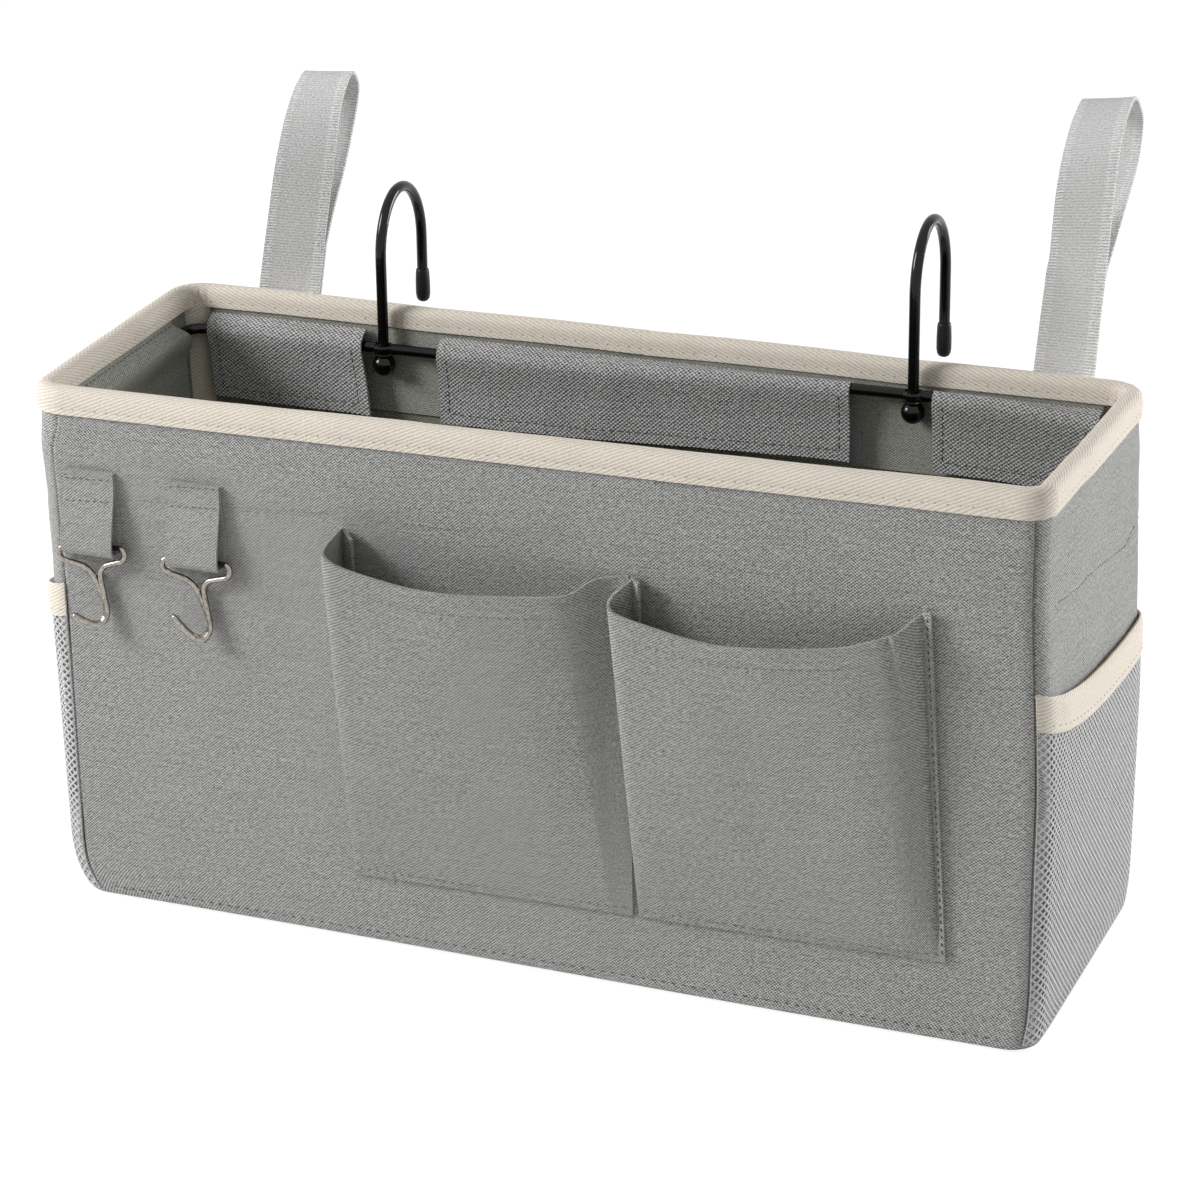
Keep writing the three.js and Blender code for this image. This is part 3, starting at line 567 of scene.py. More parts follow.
for lining_seed, lining_side in enumerate(WALLS):
    lining_half = WALLS[lining_side][0] - LINING_FACE - LINING_CUT

    def lining_place(across, along, side=lining_side, seed=lining_seed, half=lining_half):
        height = LINING_FOOT + (LINING_TOP - LINING_FOOT) * along
        low = max(0.0, 1 - height / FOOT_HEIGHT)
        distance = (half - LINING_TUCK * low * low) * (1 - 2 * across)
        rumple = LINING_RUMPLE * (1 + ripple(distance, height, seed + 20, LINING_WAVE))
        inward = LINING_FACE + rumple * min(1, 10 * along)
        return stand(side, distance, inward, height)

    cloth(lining_side + "_lining_cloth", lining_place, (2 * lining_half, LINING_TOP),
          (int(lining_half / 3), 44), LINING, lining_cloth, [lining_side + "_lining"], "lining_cloth")

base_lining_height = LINING_FOOT - LINING - BASE_LINING_GAP
base_lining = foot_plate("base_lining_cloth", BOARD_EDGE, base_lining_height, LINING, lining_cloth)
fit(base_lining, "basket", "lining_cloth", "bottom_lining")


# Corner tapes: a cream twill tape folded over the lining's seam in each inner corner, up to the frame.
# The tape is woven of cotton in slanting ribs, so it shows fine diagonal lines.
CORNER_TAPE = 0.9
CORNER_TAPE_WIDTH = 10.0
CORNER_TAPE_FLAT = 11.5
CORNER_TAPE_HOLLOW = 1.5
CORNER_TAPE_OPEN = 194
CORNER_TAPE_TOP = 208.0
CORNER_TAPE_SPREAD = 5.0
RIB_GAP = 1.3
RIB_LEAN = 25.0
TAPE_FOLD = 14.5


def twill(name, dark, light, gap, lean, fold, depth):
    """Cotton herringbone tape: slanting ribs that turn back along the middle, where the tape is folded.

    A soft shade lies between the ribs, and a little loose fuzz on them."""
    material, tree, shader = new_material(name)
    cut = add_node(tree, "TexCoord", out="UV")
    parts = add_node(tree, "SeparateXYZ", {"Vector": cut}).node.outputs
    turned_back = maths(tree, "ABSOLUTE", maths(tree, "ADD", parts["Y"], -fold * MM))
    halves = add_node(tree, "CombineXYZ", {"X": parts["X"], "Y": turned_back})
    turned = add_node(tree, "Mapping", {"Vector": halves, "Rotation": (0, 0, math.radians(lean))})
    lit = maths(tree, "MULTIPLY_ADD", grained(tree, cut, 1 / (1.1 * MM), 3.0), 1.0, -0.2)
    tone = maths(tree, "MULTIPLY_ADD", ribbed(tree, turned, gap, "Y", 1.2, 1.5), 0.7, lit)
    paint(tree, shader, tone, (dark, light), depth, 0.9, 0.2, 0.1)
    return material


cream_twill = twill("cream cotton herringbone tape", "#cabdab", "#f7efe3",
                    RIB_GAP, RIB_LEAN, TAPE_FOLD, 0.14)

for tape_name, tape_x, tape_y in (("front_left", -1, -1), ("front_right", 1, -1), ("rear_left", -1, 1),
                                  ("rear_right", 1, 1)):
    tape_low, tape_high = node_box("corner_tape_" + tape_name)
    tape_foot = tape_low.z
    tape_middle = (tape_low + tape_high) / 2

    def corner_tape_place(across, along, side_x=tape_x, side_y=tape_y, middle=tape_middle, foot=tape_foot):
        hollow = CORNER_TAPE_HOLLOW * (2 * across - 1) ** 2
        inward = Vector((-side_x, -side_y, 0)) * (0.5 - hollow) * math.sqrt(0.5)
        height = foot + (CORNER_TAPE_TOP - foot) * along
        width = CORNER_TAPE_WIDTH + CORNER_TAPE_SPREAD * eased(height, CORNER_TAPE_OPEN, CORNER_TAPE_TOP)
        sideways = Vector((-side_x * side_x, side_x * side_y, 0)) * width * (0.5 - across) * math.sqrt(0.5)
        if side_x * side_y < 0:
            sideways = -sideways
        return settled(Vector((middle.x, middle.y, height)) + inward + sideways)

    cloth("corner_tape_cloth_" + tape_name, corner_tape_place,
          (CORNER_TAPE_FLAT, CORNER_TAPE_TOP - tape_foot), (6, 40), CORNER_TAPE, cream_twill,
          ["corner_tape_" + tape_name], "cream_tape")


# Wire frame: one steel rod bent to the basket's outline, coated in black, that holds the mouth open.
# At the back it is flattened into two eyes, each with a hole that a hanging hook turns in.
WIRE = 2.2
WIRE_HEIGHT = 199.4
WIRE_X = 192.9
WIRE_FRONT = -62.9
WIRE_REAR = 59.3
WIRE_BEND = 8.0
HOOK_X = 112.5
EYE_OUTER = 4.6
EYE_BORE = 2.5
EYE_HALF = 1.5
EYE_ROUND = 0.3
EYE_SHOULDER = 0.6
EYE_SIDE = 0.8
WIRE_TILT = 5.0
TILT_UP = (-60, HOOK_X - 10)
TILT_DOWN = (140, 188)


def rear_tilt(x):
    """How far the rear run of the wire has ridden up, as a share: it lies higher towards the right hook."""
    return eased(x, *TILT_UP) * (1 - eased(x, *TILT_DOWN))


def on_rear_wire(x):
    """A place on the rear run of the wire."""
    return Vector((x, WIRE_REAR, WIRE_HEIGHT + WIRE_TILT * rear_tilt(x)))


def enamelled(name, dark, light, roughness, spot, metal=0.0):
    """Coated or plated steel: a hard, faintly uneven skin with sharp and a little broken highlights. Its
    grain mixes two colours; set far apart, they paint reflection and shade in streaks.
    """
    material, tree, shader = new_material(name)
    flow = grained(tree, add_node(tree, "TexCoord", out="Object"), 1 / (spot * MM), 2.0)
    gleam = add_node(tree, "MapRange",
                     {"Value": flow, "To Min": roughness * 0.75, "To Max": roughness * 1.25})
    paint(tree, shader, flow, (dark, light), 0.08, gleam, 0.3)
    feed(tree, shader, {"Metallic": metal})
    return material


black_enamel = enamelled("black enamelled steel", "#040405", "#0a0a0b", 0.12, 3.0)


def smooth_route(places, steps=8):
    """Points of a smooth curve through some places."""
    knots = [Vector(place) for place in places]
    knots = [2 * knots[0] - knots[1]] + knots + [2 * knots[-1] - knots[-2]]
    points = []
    for before, first, last, after in zip(knots, knots[1:], knots[2:], knots[3:]):
        leaving = first + (last - before) / 6
        points += interpolate_bezier(first, leaving, last - (after - first) / 6, last, steps + 1)[:-1]
    return points + [knots[-2]]


def add_rod(bm, points, radius, sides=14):
    """A round rod along some points, with closed ends, put into a bmesh."""
    curve = bpy.data.curves.new("rod", "CURVE")
    curve.dimensions = "3D"
    curve.bevel_depth = radius * MM
    curve.bevel_resolution = sides // 2 - 2
    curve.use_fill_caps = True
    spline = curve.splines.new("POLY")
    spline.points.add(len(points) - 1)
    for knot, point in zip(spline.points, points):
        knot.co = (*(Vector(point) * MM), 1)
    rod = bpy.data.objects.new("rod", curve)
    mesh = bpy.data.meshes.new_from_object(rod)
    bm.from_mesh(mesh)
    bpy.data.objects.remove(rod)
    bpy.data.curves.remove(curve)
    bpy.data.meshes.remove(mesh)


def add_ring(bm, middle, profile):
    """A turned ring or cap put into a bmesh: a profile of radius and height spun about an upright axis."""
    edge = [bm.verts.new((Vector(middle) + Vector((radius, 0, height))) * MM) for radius, height in profile]
    edges = [bm.edges.new(pair) for pair in zip(edge, edge[1:])]
    if profile[0][0] > 0:
        edges.append(bm.edges.new((edge[-1], edge[0])))
    bmesh.ops.spin(bm, geom=edge + edges, cent=Vector(middle) * MM, axis=(0, 0, 1), angle=2 * math.pi,
                   steps=28, use_merge=True)


def close_and_smooth(bm, angle=40):
    """Doubles merged, faces turned outwards and shaded smooth but for sharp edges."""
    bmesh.ops.remove_doubles(bm, verts=bm.verts, dist=0.002 * MM)
    bmesh.ops.recalc_face_normals(bm, faces=bm.faces)
    for face in bm.faces:
        face.smooth = True
    for edge in bm.edges:
        if len(edge.link_faces) == 2 and edge.calc_face_angle(0) > math.radians(angle):
            edge.smooth = False


def bend_points(middle, radius, start, sweep, height, steps=8):
    """Points round a level bend."""
    angles = [math.radians(start + sweep * step / steps) for step in range(steps + 1)]
    return [Vector((middle[0] + radius * math.cos(a), middle[1] + radius * math.sin(a), height))
            for a in angles]


frame_mesh = bmesh.new()
bend_x = WIRE_X - WIRE_BEND
eye_edge = HOOK_X + EYE_BORE + EYE_SHOULDER
eye_gap = HOOK_X - EYE_BORE - EYE_SHOULDER
eye_profile = [(EYE_BORE, -EYE_HALF + EYE_ROUND), (EYE_BORE + EYE_ROUND, -EYE_HALF),
               (EYE_OUTER - EYE_SHOULDER, -EYE_HALF), (EYE_OUTER, -EYE_SIDE)]
eye_profile += [(radius, -height) for radius, height in reversed(eye_profile)]
for side in (-1, 1):
    end_run = (bend_x - HOOK_X - EYE_BORE - 1) / 12
    half_round = [on_rear_wire(side * (eye_edge + end_run * step)) for step in range(12)]
    for bend_y, start in ((WIRE_REAR - WIRE_BEND, 90), (WIRE_FRONT + WIRE_BEND, 90 - 90 * side)):
        half_round += bend_points((side * bend_x, bend_y), WIRE_BEND, start, -90 * side, WIRE_HEIGHT)
    half_round.append(Vector((side * 0.2, WIRE_FRONT, WIRE_HEIGHT)))
    add_rod(frame_mesh, [settled(point) for point in half_round], WIRE)
    add_ring(frame_mesh, on_rear_wire(side * HOOK_X), eye_profile)
add_rod(frame_mesh, [on_rear_wire(eye_gap * (step / 10 - 1)) for step in range(21)], WIRE)
close_and_smooth(frame_mesh)
wire_frame = finish_mesh(frame_mesh, "wire_frame_rod", black_enamel)
fit(wire_frame, "basket", "black_wire", "wire_frame")


# Hanging hooks: two black steel hooks that turn in the frame's eyes and go over the bed's rail.
# The foot of each is upset into a ball that holds it in the eye, on a bright washer. Its tip is in rubber.
BALL = 4.7
BALL_HEIGHT = 192.5
HOOK_TOP = 261.8
HOOK_HALF_MOUTH = 20.0
HOOK_ARCH = 25.0
HOOK_ARCH_LIFT = 1.4
HOOK_STEM = (206, 214, 222, 230)
HOOK_END = (230, 220)
WASHER_FOOT = 196.8
WASHER = [(2.3, 0.1), (2.4, 0), (3.6, 0), (3.7, 0.1), (3.7, 0.7), (3.6, 0.8), (2.4, 0.8), (2.3, 0.7)]
TIP_FOOT = 208.0
TIP = [(0, 0), (1.2, 0.1), (2.1, 0.6), (2.7, 1.6), (3.0, 3.4), (3.0, 8.0), (2.8, 12.6), (2.6, 13.7),
       (2.4, 14), (2.25, 13.8), (2.2, 12), (2.2, 2.0), (0, 1.6)]
black_rubber = mottled("black rubber", "#0c0c0d", "#161617", 0.6, 0.01, 0.42)
bright_nickel = enamelled("nickel plated steel", "#8c867d", "#a8a39a", 0.17, 2.0, metal=1.0)

for hook_side, hook_x in (("left", -HOOK_X), ("right", HOOK_X)):
    hook_body = "rail_hook_" + hook_side
    hook_lift = WIRE_TILT * rear_tilt(hook_x)
    ball_height = BALL_HEIGHT + hook_lift
    tip_y = WIRE_REAR + 2 * HOOK_HALF_MOUTH
    hook_mesh = bmesh.new()
    bmesh.ops.create_uvsphere(hook_mesh, u_segments=28, v_segments=18, radius=BALL * MM,
                              matrix=Matrix.Translation(Vector((hook_x, WIRE_REAR, ball_height)) * MM))
    arch_foot = HOOK_TOP - HOOK_ARCH + HOOK_ARCH_LIFT * hook_lift
    hook_route = [Vector((hook_x, WIRE_REAR, height)) for height in (ball_height, *HOOK_STEM)]
    for step in range(25):
        swing = math.pi * step / 24
        hook_route.append(Vector((hook_x, WIRE_REAR + HOOK_HALF_MOUTH * (1 - math.cos(swing)),
                                  arch_foot + HOOK_ARCH * math.sin(swing))))
    hook_route += [Vector((hook_x, tip_y, height)) for height in (*HOOK_END, TIP_FOOT + 1.5)]
    add_rod(hook_mesh, hook_route, WIRE, sides=18)
    close_and_smooth(hook_mesh)
    hook = finish_mesh(hook_mesh, hook_body + "_wire", black_enamel)
    fit(hook, hook_body, "black_wire", "hanging_hook_" + hook_side)

    for ring_node, ring_end, ring_place, ring_profile, ring_finish, ring_slot in (
            ("hook_washer_", "_ring", (WIRE_REAR, WASHER_FOOT + hook_lift), WASHER, bright_nickel, "nickel"),
            ("hook_tip_", "_cap", (tip_y, TIP_FOOT), TIP, black_rubber, "rubber_tip")):
        ring_mesh = bmesh.new()
        add_ring(ring_mesh, (hook_x, *ring_place), ring_profile)
        close_and_smooth(ring_mesh)
        ring = finish_mesh(ring_mesh, ring_node + hook_side + ring_end, ring_finish)
        fit(ring, hook_body, ring_slot, ring_node + hook_side)


# Facings: strips of canvas inside the mouth, caught under the rim binding and sewn through the walls.
# The front and side ones run over the wire frame, so they bulge out round it, and the back one lies flat.
FACING = 0.8
FACING_FACE = 5.7
FACING_FOOT = 171.0
FACING_TOP = 211.8
ROD_BULGE = 4.8
CHANNEL_ROW = 0.83
THREAD = 0.55
BULGE_ABOVE = 6.3
BULGE_BELOW = 14.0
FACING_LIFT = 0.25
FACING_HEM = 8
FACING_NARROWS = 13
FACING_NARROWS_SPAN = (192, 211)
FACING_ROWS = {"front": (-112.0, 190.0), "right": (-50.0, 68.0), "back": (-190.0, 190.0),
               "left": (-68.0, 66.0)}
FRONT_ROW_SINK = 0.12
FOOT_ROW = 372
FOOT_ROW_HEIGHT = 4.4


def sew(name, place, length, out, finish, slot="canvas", rides="basket", pitch=3.6, stitch=2.7, width=THREAD,
        sink=0.1):
    """A row of sewn stitches along a route: small beads of thread, each drawn into the cloth at its ends."""
    bm = bmesh.new()
    count = max(2, round(length / pitch))
    for index in range(count):
        share = (index + 0.5) / count
        middle = place(share)
        along = (place(share + 0.3 / count) - place(share - 0.3 / count)).normalized()
        normal = Vector(out(share) if callable(out) else out)
        normal = (normal - normal.dot(along) * along).normalized()
        turned = Matrix((along, normal.cross(along), normal)).transposed().to_4x4()
        sized = Matrix.Diagonal((stitch / 2 * MM, width / 2 * MM, width / 2 * MM, 1))
        seat = Matrix.Translation((middle + normal * (width / 2 - sink)) * MM)
        bmesh.ops.create_icosphere(bm, subdivisions=1, radius=1, matrix=seat @ turned @ sized)
    for face in bm.faces:
        face.smooth = True
    fit(finish_mesh(bm, name, finish), rides, slot)


grey_thread = mottled("grey polyester thread", "#6e6e6a", "#8f8f8b", 0.5, 0.02, 0.7)
# The same grey thread painted darker: painted shade for stitches sunk into the cloth, on the tabs, flap
# hems, pocket edge, channels, side facings and front foot.
thread_in_painted_shade = mottled("grey polyester thread in painted shade", "#343433", "#50504e", 0.5, 0.02, 0.7)
# The facings are the walls' canvas painted a little darker, greener and flatter: painted shade of the inside
# of the mouth.
facing_canvas_painted_shade = woven("grey canvas with painted shade for the facings", "#6c6d66", "#c6c7be", CANVAS_THREAD, 0.8, 0.1)


def facing_inward(height, over_rod):
    """How far in the facing's inner face stands at a height."""
    rise = height - WIRE_HEIGHT
    share = min(1.0, abs(rise) / (BULGE_ABOVE if rise > 0 else BULGE_BELOW))
    return FACING_FACE + (ROD_BULGE * (0.5 + 0.5 * math.cos(math.pi * share)) if over_rod else 0)


for facing_seed, facing_side in enumerate(WALLS):
    facing_low, facing_high = node_box(facing_side + "_facing")
    if facing_side in ("front", "back"):
        facing_ends = (-facing_high.x, facing_high.x)
    elif facing_side == "right":
        facing_ends = (facing_low.y, facing_high.y)
    else:
        facing_ends = (-facing_high.y, -facing_low.y)

    def facing_place(across, along, side=facing_side, seed=facing_seed, ends=facing_ends):
        height = FACING_FOOT + (FACING_TOP - FACING_FOOT) * along
        first, last = ends
        cut_back = FACING_NARROWS * eased(height, *FACING_NARROWS_SPAN) - FACING_HEM
        if side == "right":
            last -= cut_back
        if side == "left":
            first += cut_back
        distance = last + (first - last) * across
        inward = facing_inward(height, side != "back")
        inward += 0.3 * ripple(distance, height, seed + 40, 30) * (1 - along)
        return stand(side, distance, inward + FACING_LIFT, height)

    facing_length = facing_ends[1] - facing_ends[0]
    if facing_side != "back":
        sew(facing_side + "_channel_stitches",
            lambda share, at=facing_place: at(0.02 + 0.96 * share, CHANNEL_ROW), facing_length,
            -stand(facing_side, 0, 0, 0), thread_in_painted_shade, stitch=2.6, width=0.4)
    cloth(facing_side + "_facing_cloth", facing_place,
          (facing_length, FACING_TOP - FACING_FOOT + FACING_HEM), (int(facing_length / 4), 40), FACING,
          facing_canvas_painted_shade, [facing_side + "_facing"], "canvas")

for row_side, (row_from, row_to) in FACING_ROWS.items():

    def facing_row(share, side=row_side, start=row_from, end=row_to):
        distance = start + (end - start) * share
        height = facing_seam(side, distance)
        sunk = FRONT_ROW_SINK if side == "front" else 0
        return on_wall(side, distance, height, wall_out(side, distance, height) - sunk)

    # The side rows take the darker thread, painted shade; the front and back rows are grey.
    sew("facing_stitches_" + row_side, facing_row, row_to - row_from, stand(row_side, 0, 0, 0),
        grey_thread if row_side in ("front", "back") else thread_in_painted_shade, stitch=2.9, width=0.4)


def foot_row(share):
    """A place on the row of stitches along the foot of the front wall."""
    distance = FOOT_ROW * (share - 0.5)
    return on_wall("front", distance, FOOT_ROW_HEIGHT, wall_out("front", distance, FOOT_ROW_HEIGHT))


sew("front_foot_stitches", foot_row, FOOT_ROW, (0, -1, 0), thread_in_painted_shade, pitch=4.2, stitch=2.0, width=0.4)


# Rod flaps: three canvas flaps that hang from the rim over the rear wire, between and beside the hooks.
# Each is hemmed and held down by a touch fastener, hooks on the flap and loops on the facing behind.
# The cloth bends between its sewn edge and its free part and is fixed to no body; its hem stitches and hook
# tape ride on the flap's body.
FLAP = 1.2
FLAP_LINE = [(11.6, 171.0), (11.8, 178.0), (12.2, 185.0), (12.9, 190.0), (13.7, 194.0), (14.4, 197.6),
             (14.5, 200.4), (13.0, 203.0), (10.4, 204.8), (7.6, 205.9)]
FLAP_FLARE = {"left": 3.0, "middle": 0.8, "right": 0.8}
FLAP_SPREAD = 3.5
FLAP_TILT = 3.7
FLAP_THREAD = (0.95, 0.8)
FLAP_SEWN_SHARE = 0.86
FLAP_SWELL = 0.7
FLAP_RUMPLE = 0.35
FLAP_WAVER = 0.8
HEM = 4.2
HEM_RISE = 0.62
TOUCH_TAPE = 1.0
TOUCH_INSET = {"hook": 8.3, "loop": 7.0}
TOUCH_SHORT = 6


def measured(points):
    """The length of a line of points, and a function that gives the place at a share of that length."""
    marks = [0.0]
    for first, last in zip(points, points[1:]):
        marks.append(marks[-1] + (last - first).length)

    def place(share):
        wanted = min(max(share, 0.0), 1.0) * marks[-1]
        step = min(max(1, bisect.bisect_left(marks, wanted)), len(points) - 1)
        passed = (wanted - marks[step - 1]) / (marks[step] - marks[step - 1])
        return points[step - 1].lerp(points[step], passed)

    return marks[-1], place


flap_length, flap_line = measured(smooth_route([Vector((inset, height, 0)) for inset, height in FLAP_LINE]))
# The flaps' canvas is the walls' canvas painted lighter and with stronger contrast: painted light for flaps
# that hang in shade behind the rim, and for side light raking their weave.
flap_canvas_painted_light = woven("grey woven canvas with painted light for the flaps", "#4c4c4c", "#e4e4e4", FLAP_THREAD, 0.9, 0.3)
touch_fastener = mottled("nylon touch fastener", "#85838f", "#b7b5c2", 0.7, 0.05, 0.8)

for flap_side in ("left", "middle", "right"):
    flap_low, flap_high = node_box("rod_flap_" + flap_side)
    flap_width = flap_high.x - flap_low.x

    def flap_place(across, along, left=flap_low.x, width=flap_width, flare=FLAP_FLARE[flap_side]):
        inset, height, _ = flap_line(along)
        loose = (1 - along) ** 1.6
        aside = width * across
        inset += flare * across ** 4 * loose + FLAP_SWELL * loose * (1 + ripple(aside, height, left, 40))
        inset += FLAP_RUMPLE * ripple(aside, height, left + 3, 24)
        height += FLAP_WAVER * loose * ripple(aside, 0, left + 5, 45)
        height += FLAP_TILT * rear_tilt(left + aside) * (1 - eased(along, FLAP_SEWN_SHARE, 1.0))
        sideways = FLAP_SPREAD * across ** 3 * loose if left < -HOOK_X else 0
        return settled(Vector((left + aside + sideways, HALF_Y - inset, height)))

    flap_body = "flap_" + flap_side
    flap_cloth = cloth(flap_body + "_cloth", flap_place, (flap_width, flap_length),
                       (int(flap_width / 2.5), 30), FLAP, flap_canvas_painted_light, ["rod_flap_" + flap_side], "canvas",
                       rides=None)
    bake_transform(flap_cloth)
    hem_across = HEM / flap_width
    hem_along = HEM / flap_length
    for hem_name, hem_start, hem_run, hem_rise in (("foot", hem_across, 1 - 2 * hem_across, 0),
                                                   ("left", hem_across, 0, HEM_RISE),
                                                   ("right", 1 - hem_across, 0, HEM_RISE)):

        def hem_row(share, at=flap_place, start=hem_start, run=hem_run, rise=hem_rise):
            return at(start + run * share, hem_along + rise * share)

        sew(flap_body + "_hem_" + hem_name, hem_row, hem_run * flap_width + hem_rise * flap_length,
            (0, -1, 0.2), thread_in_painted_shade, rides=flap_body, stitch=2.4, width=0.36)
    for tape_part, tape_body in (("hook", flap_body), ("loop", "basket")):
        tape_node = "flap_" + tape_part + "_tape_" + flap_side
        tape_low, tape_high = node_box(tape_node)
        tape_size = tape_high - tape_low
        if flap_side == "left":
            tape_size.x -= TOUCH_SHORT

        def tape_place(across, along, low=tape_low, size=tape_size, inset=TOUCH_INSET[tape_part]):
            return Vector((low.x + size.x * across, HALF_Y - inset, low.z + size.z * along))

        cloth(tape_node + "_strip", tape_place, (tape_size.x, tape_size.z), (12, 4), TOUCH_TAPE,
              touch_fastener, [tape_node], "fastener_tape", rides=tape_body)


# Rim binding: one long cream twill tape folded over the top edges of the walls, linings and facings.
# It is sewn through all of them near its lower edge, and bunches a little round the four corners.
RIM_FOOT = 205.6
RIM_INNER_FOOT = 207.6
RIM_CREST = 212.2
RIM_TOP = 216.5
RIM_MIDDLE = 2.85
RIM_HALF = 4.0
RIM_TAPE = 0.6
RIM_STITCH = 208.2
RIM_PITCH = 4.6
RIM_STEP = 0.0012
RIM_BUNCH = 0.35
RIM_BUNCH_GAP = 4.4
RIM_WANDER = 0.45
RIM_WAVER = 0.5
RIM_SINK = 0.25
RIM_SINK_WIDTH = 0.9


def round_outline(half_x, half_y, steps=12):
    """Points round the mouth from the middle of the back, against the clock as seen from above."""
    points = [Vector((0, half_y, 0))]
    for corner, start, side_x, side_y in (("rear_left", 90, -1, 1), ("front_left", 180, -1, -1),
                                          ("front_right", 270, 1, -1), ("rear_right", 0, 1, 1)):
        radius = CORNER + CORNER_RIM[corner] - RIM_MIDDLE
        middle = (side_x * (half_x - radius), side_y * (half_y - radius))
        points += bend_points(middle, radius, start, 90, 0, steps)
    return points + [Vector((0, half_y, 0))]


rim_length, rim_line = measured(round_outline(HALF_X - RIM_MIDDLE, HALF_Y - RIM_MIDDLE))
rim_fold = [(RIM_HALF, RIM_FOOT), (RIM_HALF + 0.2, 208.6), (RIM_HALF + 0.25, 210.2)]
for rim_step in range(13):
    rim_swing = math.pi * rim_step / 12
    rim_height = RIM_CREST + (RIM_TOP - RIM_CREST) * math.sin(rim_swing)
    rim_fold.append((RIM_HALF * math.cos(rim_swing), rim_height))
rim_fold += [(-RIM_HALF - 0.1, 210.0), (-RIM_HALF, RIM_INNER_FOOT)]
rim_width, rim_section = measured([Vector((out, height, 0)) for out, height in rim_fold])


def rim_outward(share, side=1):
    """The way out of the mouth at a share of the rim, or into it with a side of minus one."""
    way = rim_line((share + RIM_STEP) % 1) - rim_line((share - RIM_STEP) % 1)
    return Vector((way.y, -way.x, 0)) * side


def rim_place(across, along):
    """A place on the rim binding's outer face, round the mouth and over the fold."""
    outward = rim_outward(across).normalized()
    out, height, _ = rim_section(along)
    distance = across * rim_length
    corner = min(1.0, max(0.0, abs(outward.x * outward.y) * 4))
    bunch = RIM_BUNCH * corner * math.sin(distance * 2 * math.pi / RIM_BUNCH_GAP)
    out += RIM_WANDER * ripple(distance, 0, 71, 38) + bunch * (1 if out > 0 else -1)
    out -= RIM_SINK * dent(height - RIM_STITCH, RIM_SINK_WIDTH)
    height += RIM_WAVER * ripple(distance, 0, 77, 60) * (height > RIM_FOOT + 1)
    return settled(rim_line(across) + outward * out + Vector((0, 0, height)))


cloth("rim_tape", rim_place, (rim_length, rim_width), (540, 24), RIM_TAPE, cream_twill, ["rim_binding"],
      "cream_tape", joined=True)
rim_stitch_share = (RIM_STITCH - RIM_FOOT) / rim_width
cream_thread = mottled("cream polyester thread", "#a2957f", "#bfb29b", 0.5, 0.03, 0.7)
pale_thread = mottled("pale polyester thread", "#b9ad99", "#d6cbb9", 0.5, 0.03, 0.7)
for rim_row, rim_share, rim_side, rim_thread in (("outer", rim_stitch_share, 1, cream_thread),
                                                 ("inner", 1 - rim_stitch_share, -1, pale_thread)):
    sew("rim_stitches_" + rim_row, lambda share, at=rim_share: rim_place(share % 1, at), rim_length,
        lambda share, side=rim_side: rim_outward(share, side), rim_thread, slot="cream_tape",
        pitch=RIM_PITCH, stitch=1.3, width=0.5, sink=0.25)


# Loop straps: two grey webbing straps at the back that close into loops round the bed's frame.
# Webbing is woven thick of spun polyester, ribbed along its edges. Each foot is sewn to the back in a box.
# A loop bends above the rim and is fixed to no body; its sewn foot rides on the basket.
STRAP = 1.3
STRAP_WIDTH = 25.0
STRAP_FEET = {"left": -163.1, "right": 166.9}
STRAP_DRAW = 2.5
BOX_ROW = ((0.14, 0.06), (0.86, 0.06), (0.86, 0.5), (0.14, 0.5), (0.14, 0.06), (0.86, 0.5), (0.86, 0.06),
           (0.14, 0.5))
STRAP_EDGES = {
    "left": (
        [(72.0, 202.5), (73.6, 213.5), (82.0, 239.4), (89.1, 260.3), (94.3, 271.4), (101.0, 282.2),
         (109.0, 290.6), (115.4, 294.6), (119.4, 296.0), (123.4, 294.9), (126.0, 291.0), (125.0, 284.6),
         (121.0, 276.6), (115.0, 267.0), (108.4, 257.0), (101.0, 247.8), (94.2, 238.4), (87.6, 229.0),
         (82.4, 219.0), (75.4, 205.5)],
        [(74.0, 202.5), (79.0, 212.8), (83.8, 225.2), (87.6, 237.4), (91.4, 247.3), (95.7, 258.6),
         (100.0, 270.7), (104.3, 281.9), (108.1, 289.0), (112.7, 294.4), (117.6, 297.6), (121.4, 296.6),
         (125.0, 290.9), (123.6, 284.7), (119.7, 276.8), (113.8, 267.3), (107.1, 257.2), (99.8, 248.1),
         (93.2, 238.8), (88.6, 231.3), (86.6, 226.0), (82.0, 213.5), (77.0, 204.0)]),
    "right": (
        [(74.6, 202.5), (80.0, 213.5), (89.8, 241.9), (93.6, 254.6), (95.7, 269.4), (98.4, 280.8),
         (104.4, 291.9), (113.3, 301.0), (122.6, 306.1), (130.4, 308.2), (137.6, 305.6), (140.6, 299.4),
         (139.8, 292.0), (134.0, 283.0), (124.0, 274.4), (112.0, 265.6), (101.6, 257.4), (94.8, 249.6),
         (92.2, 241.0), (83.0, 214.5), (77.6, 204.5)],
        [(72.0, 202.5), (75.0, 215.4), (81.3, 236.7), (85.9, 249.0), (90.3, 262.1), (93.7, 274.0),
         (97.8, 285.4), (101.6, 296.2), (106.6, 303.4), (112.6, 308.7), (121.4, 312.4), (127.8, 311.4),
         (133.6, 307.4), (138.6, 301.7), (139.4, 296.4), (135.9, 287.0), (128.7, 279.4), (118.3, 271.7),
         (106.5, 262.9), (96.2, 255.4), (89.4, 249.7), (84.2, 237.0), (78.0, 215.6), (75.0, 204.5)]),
}


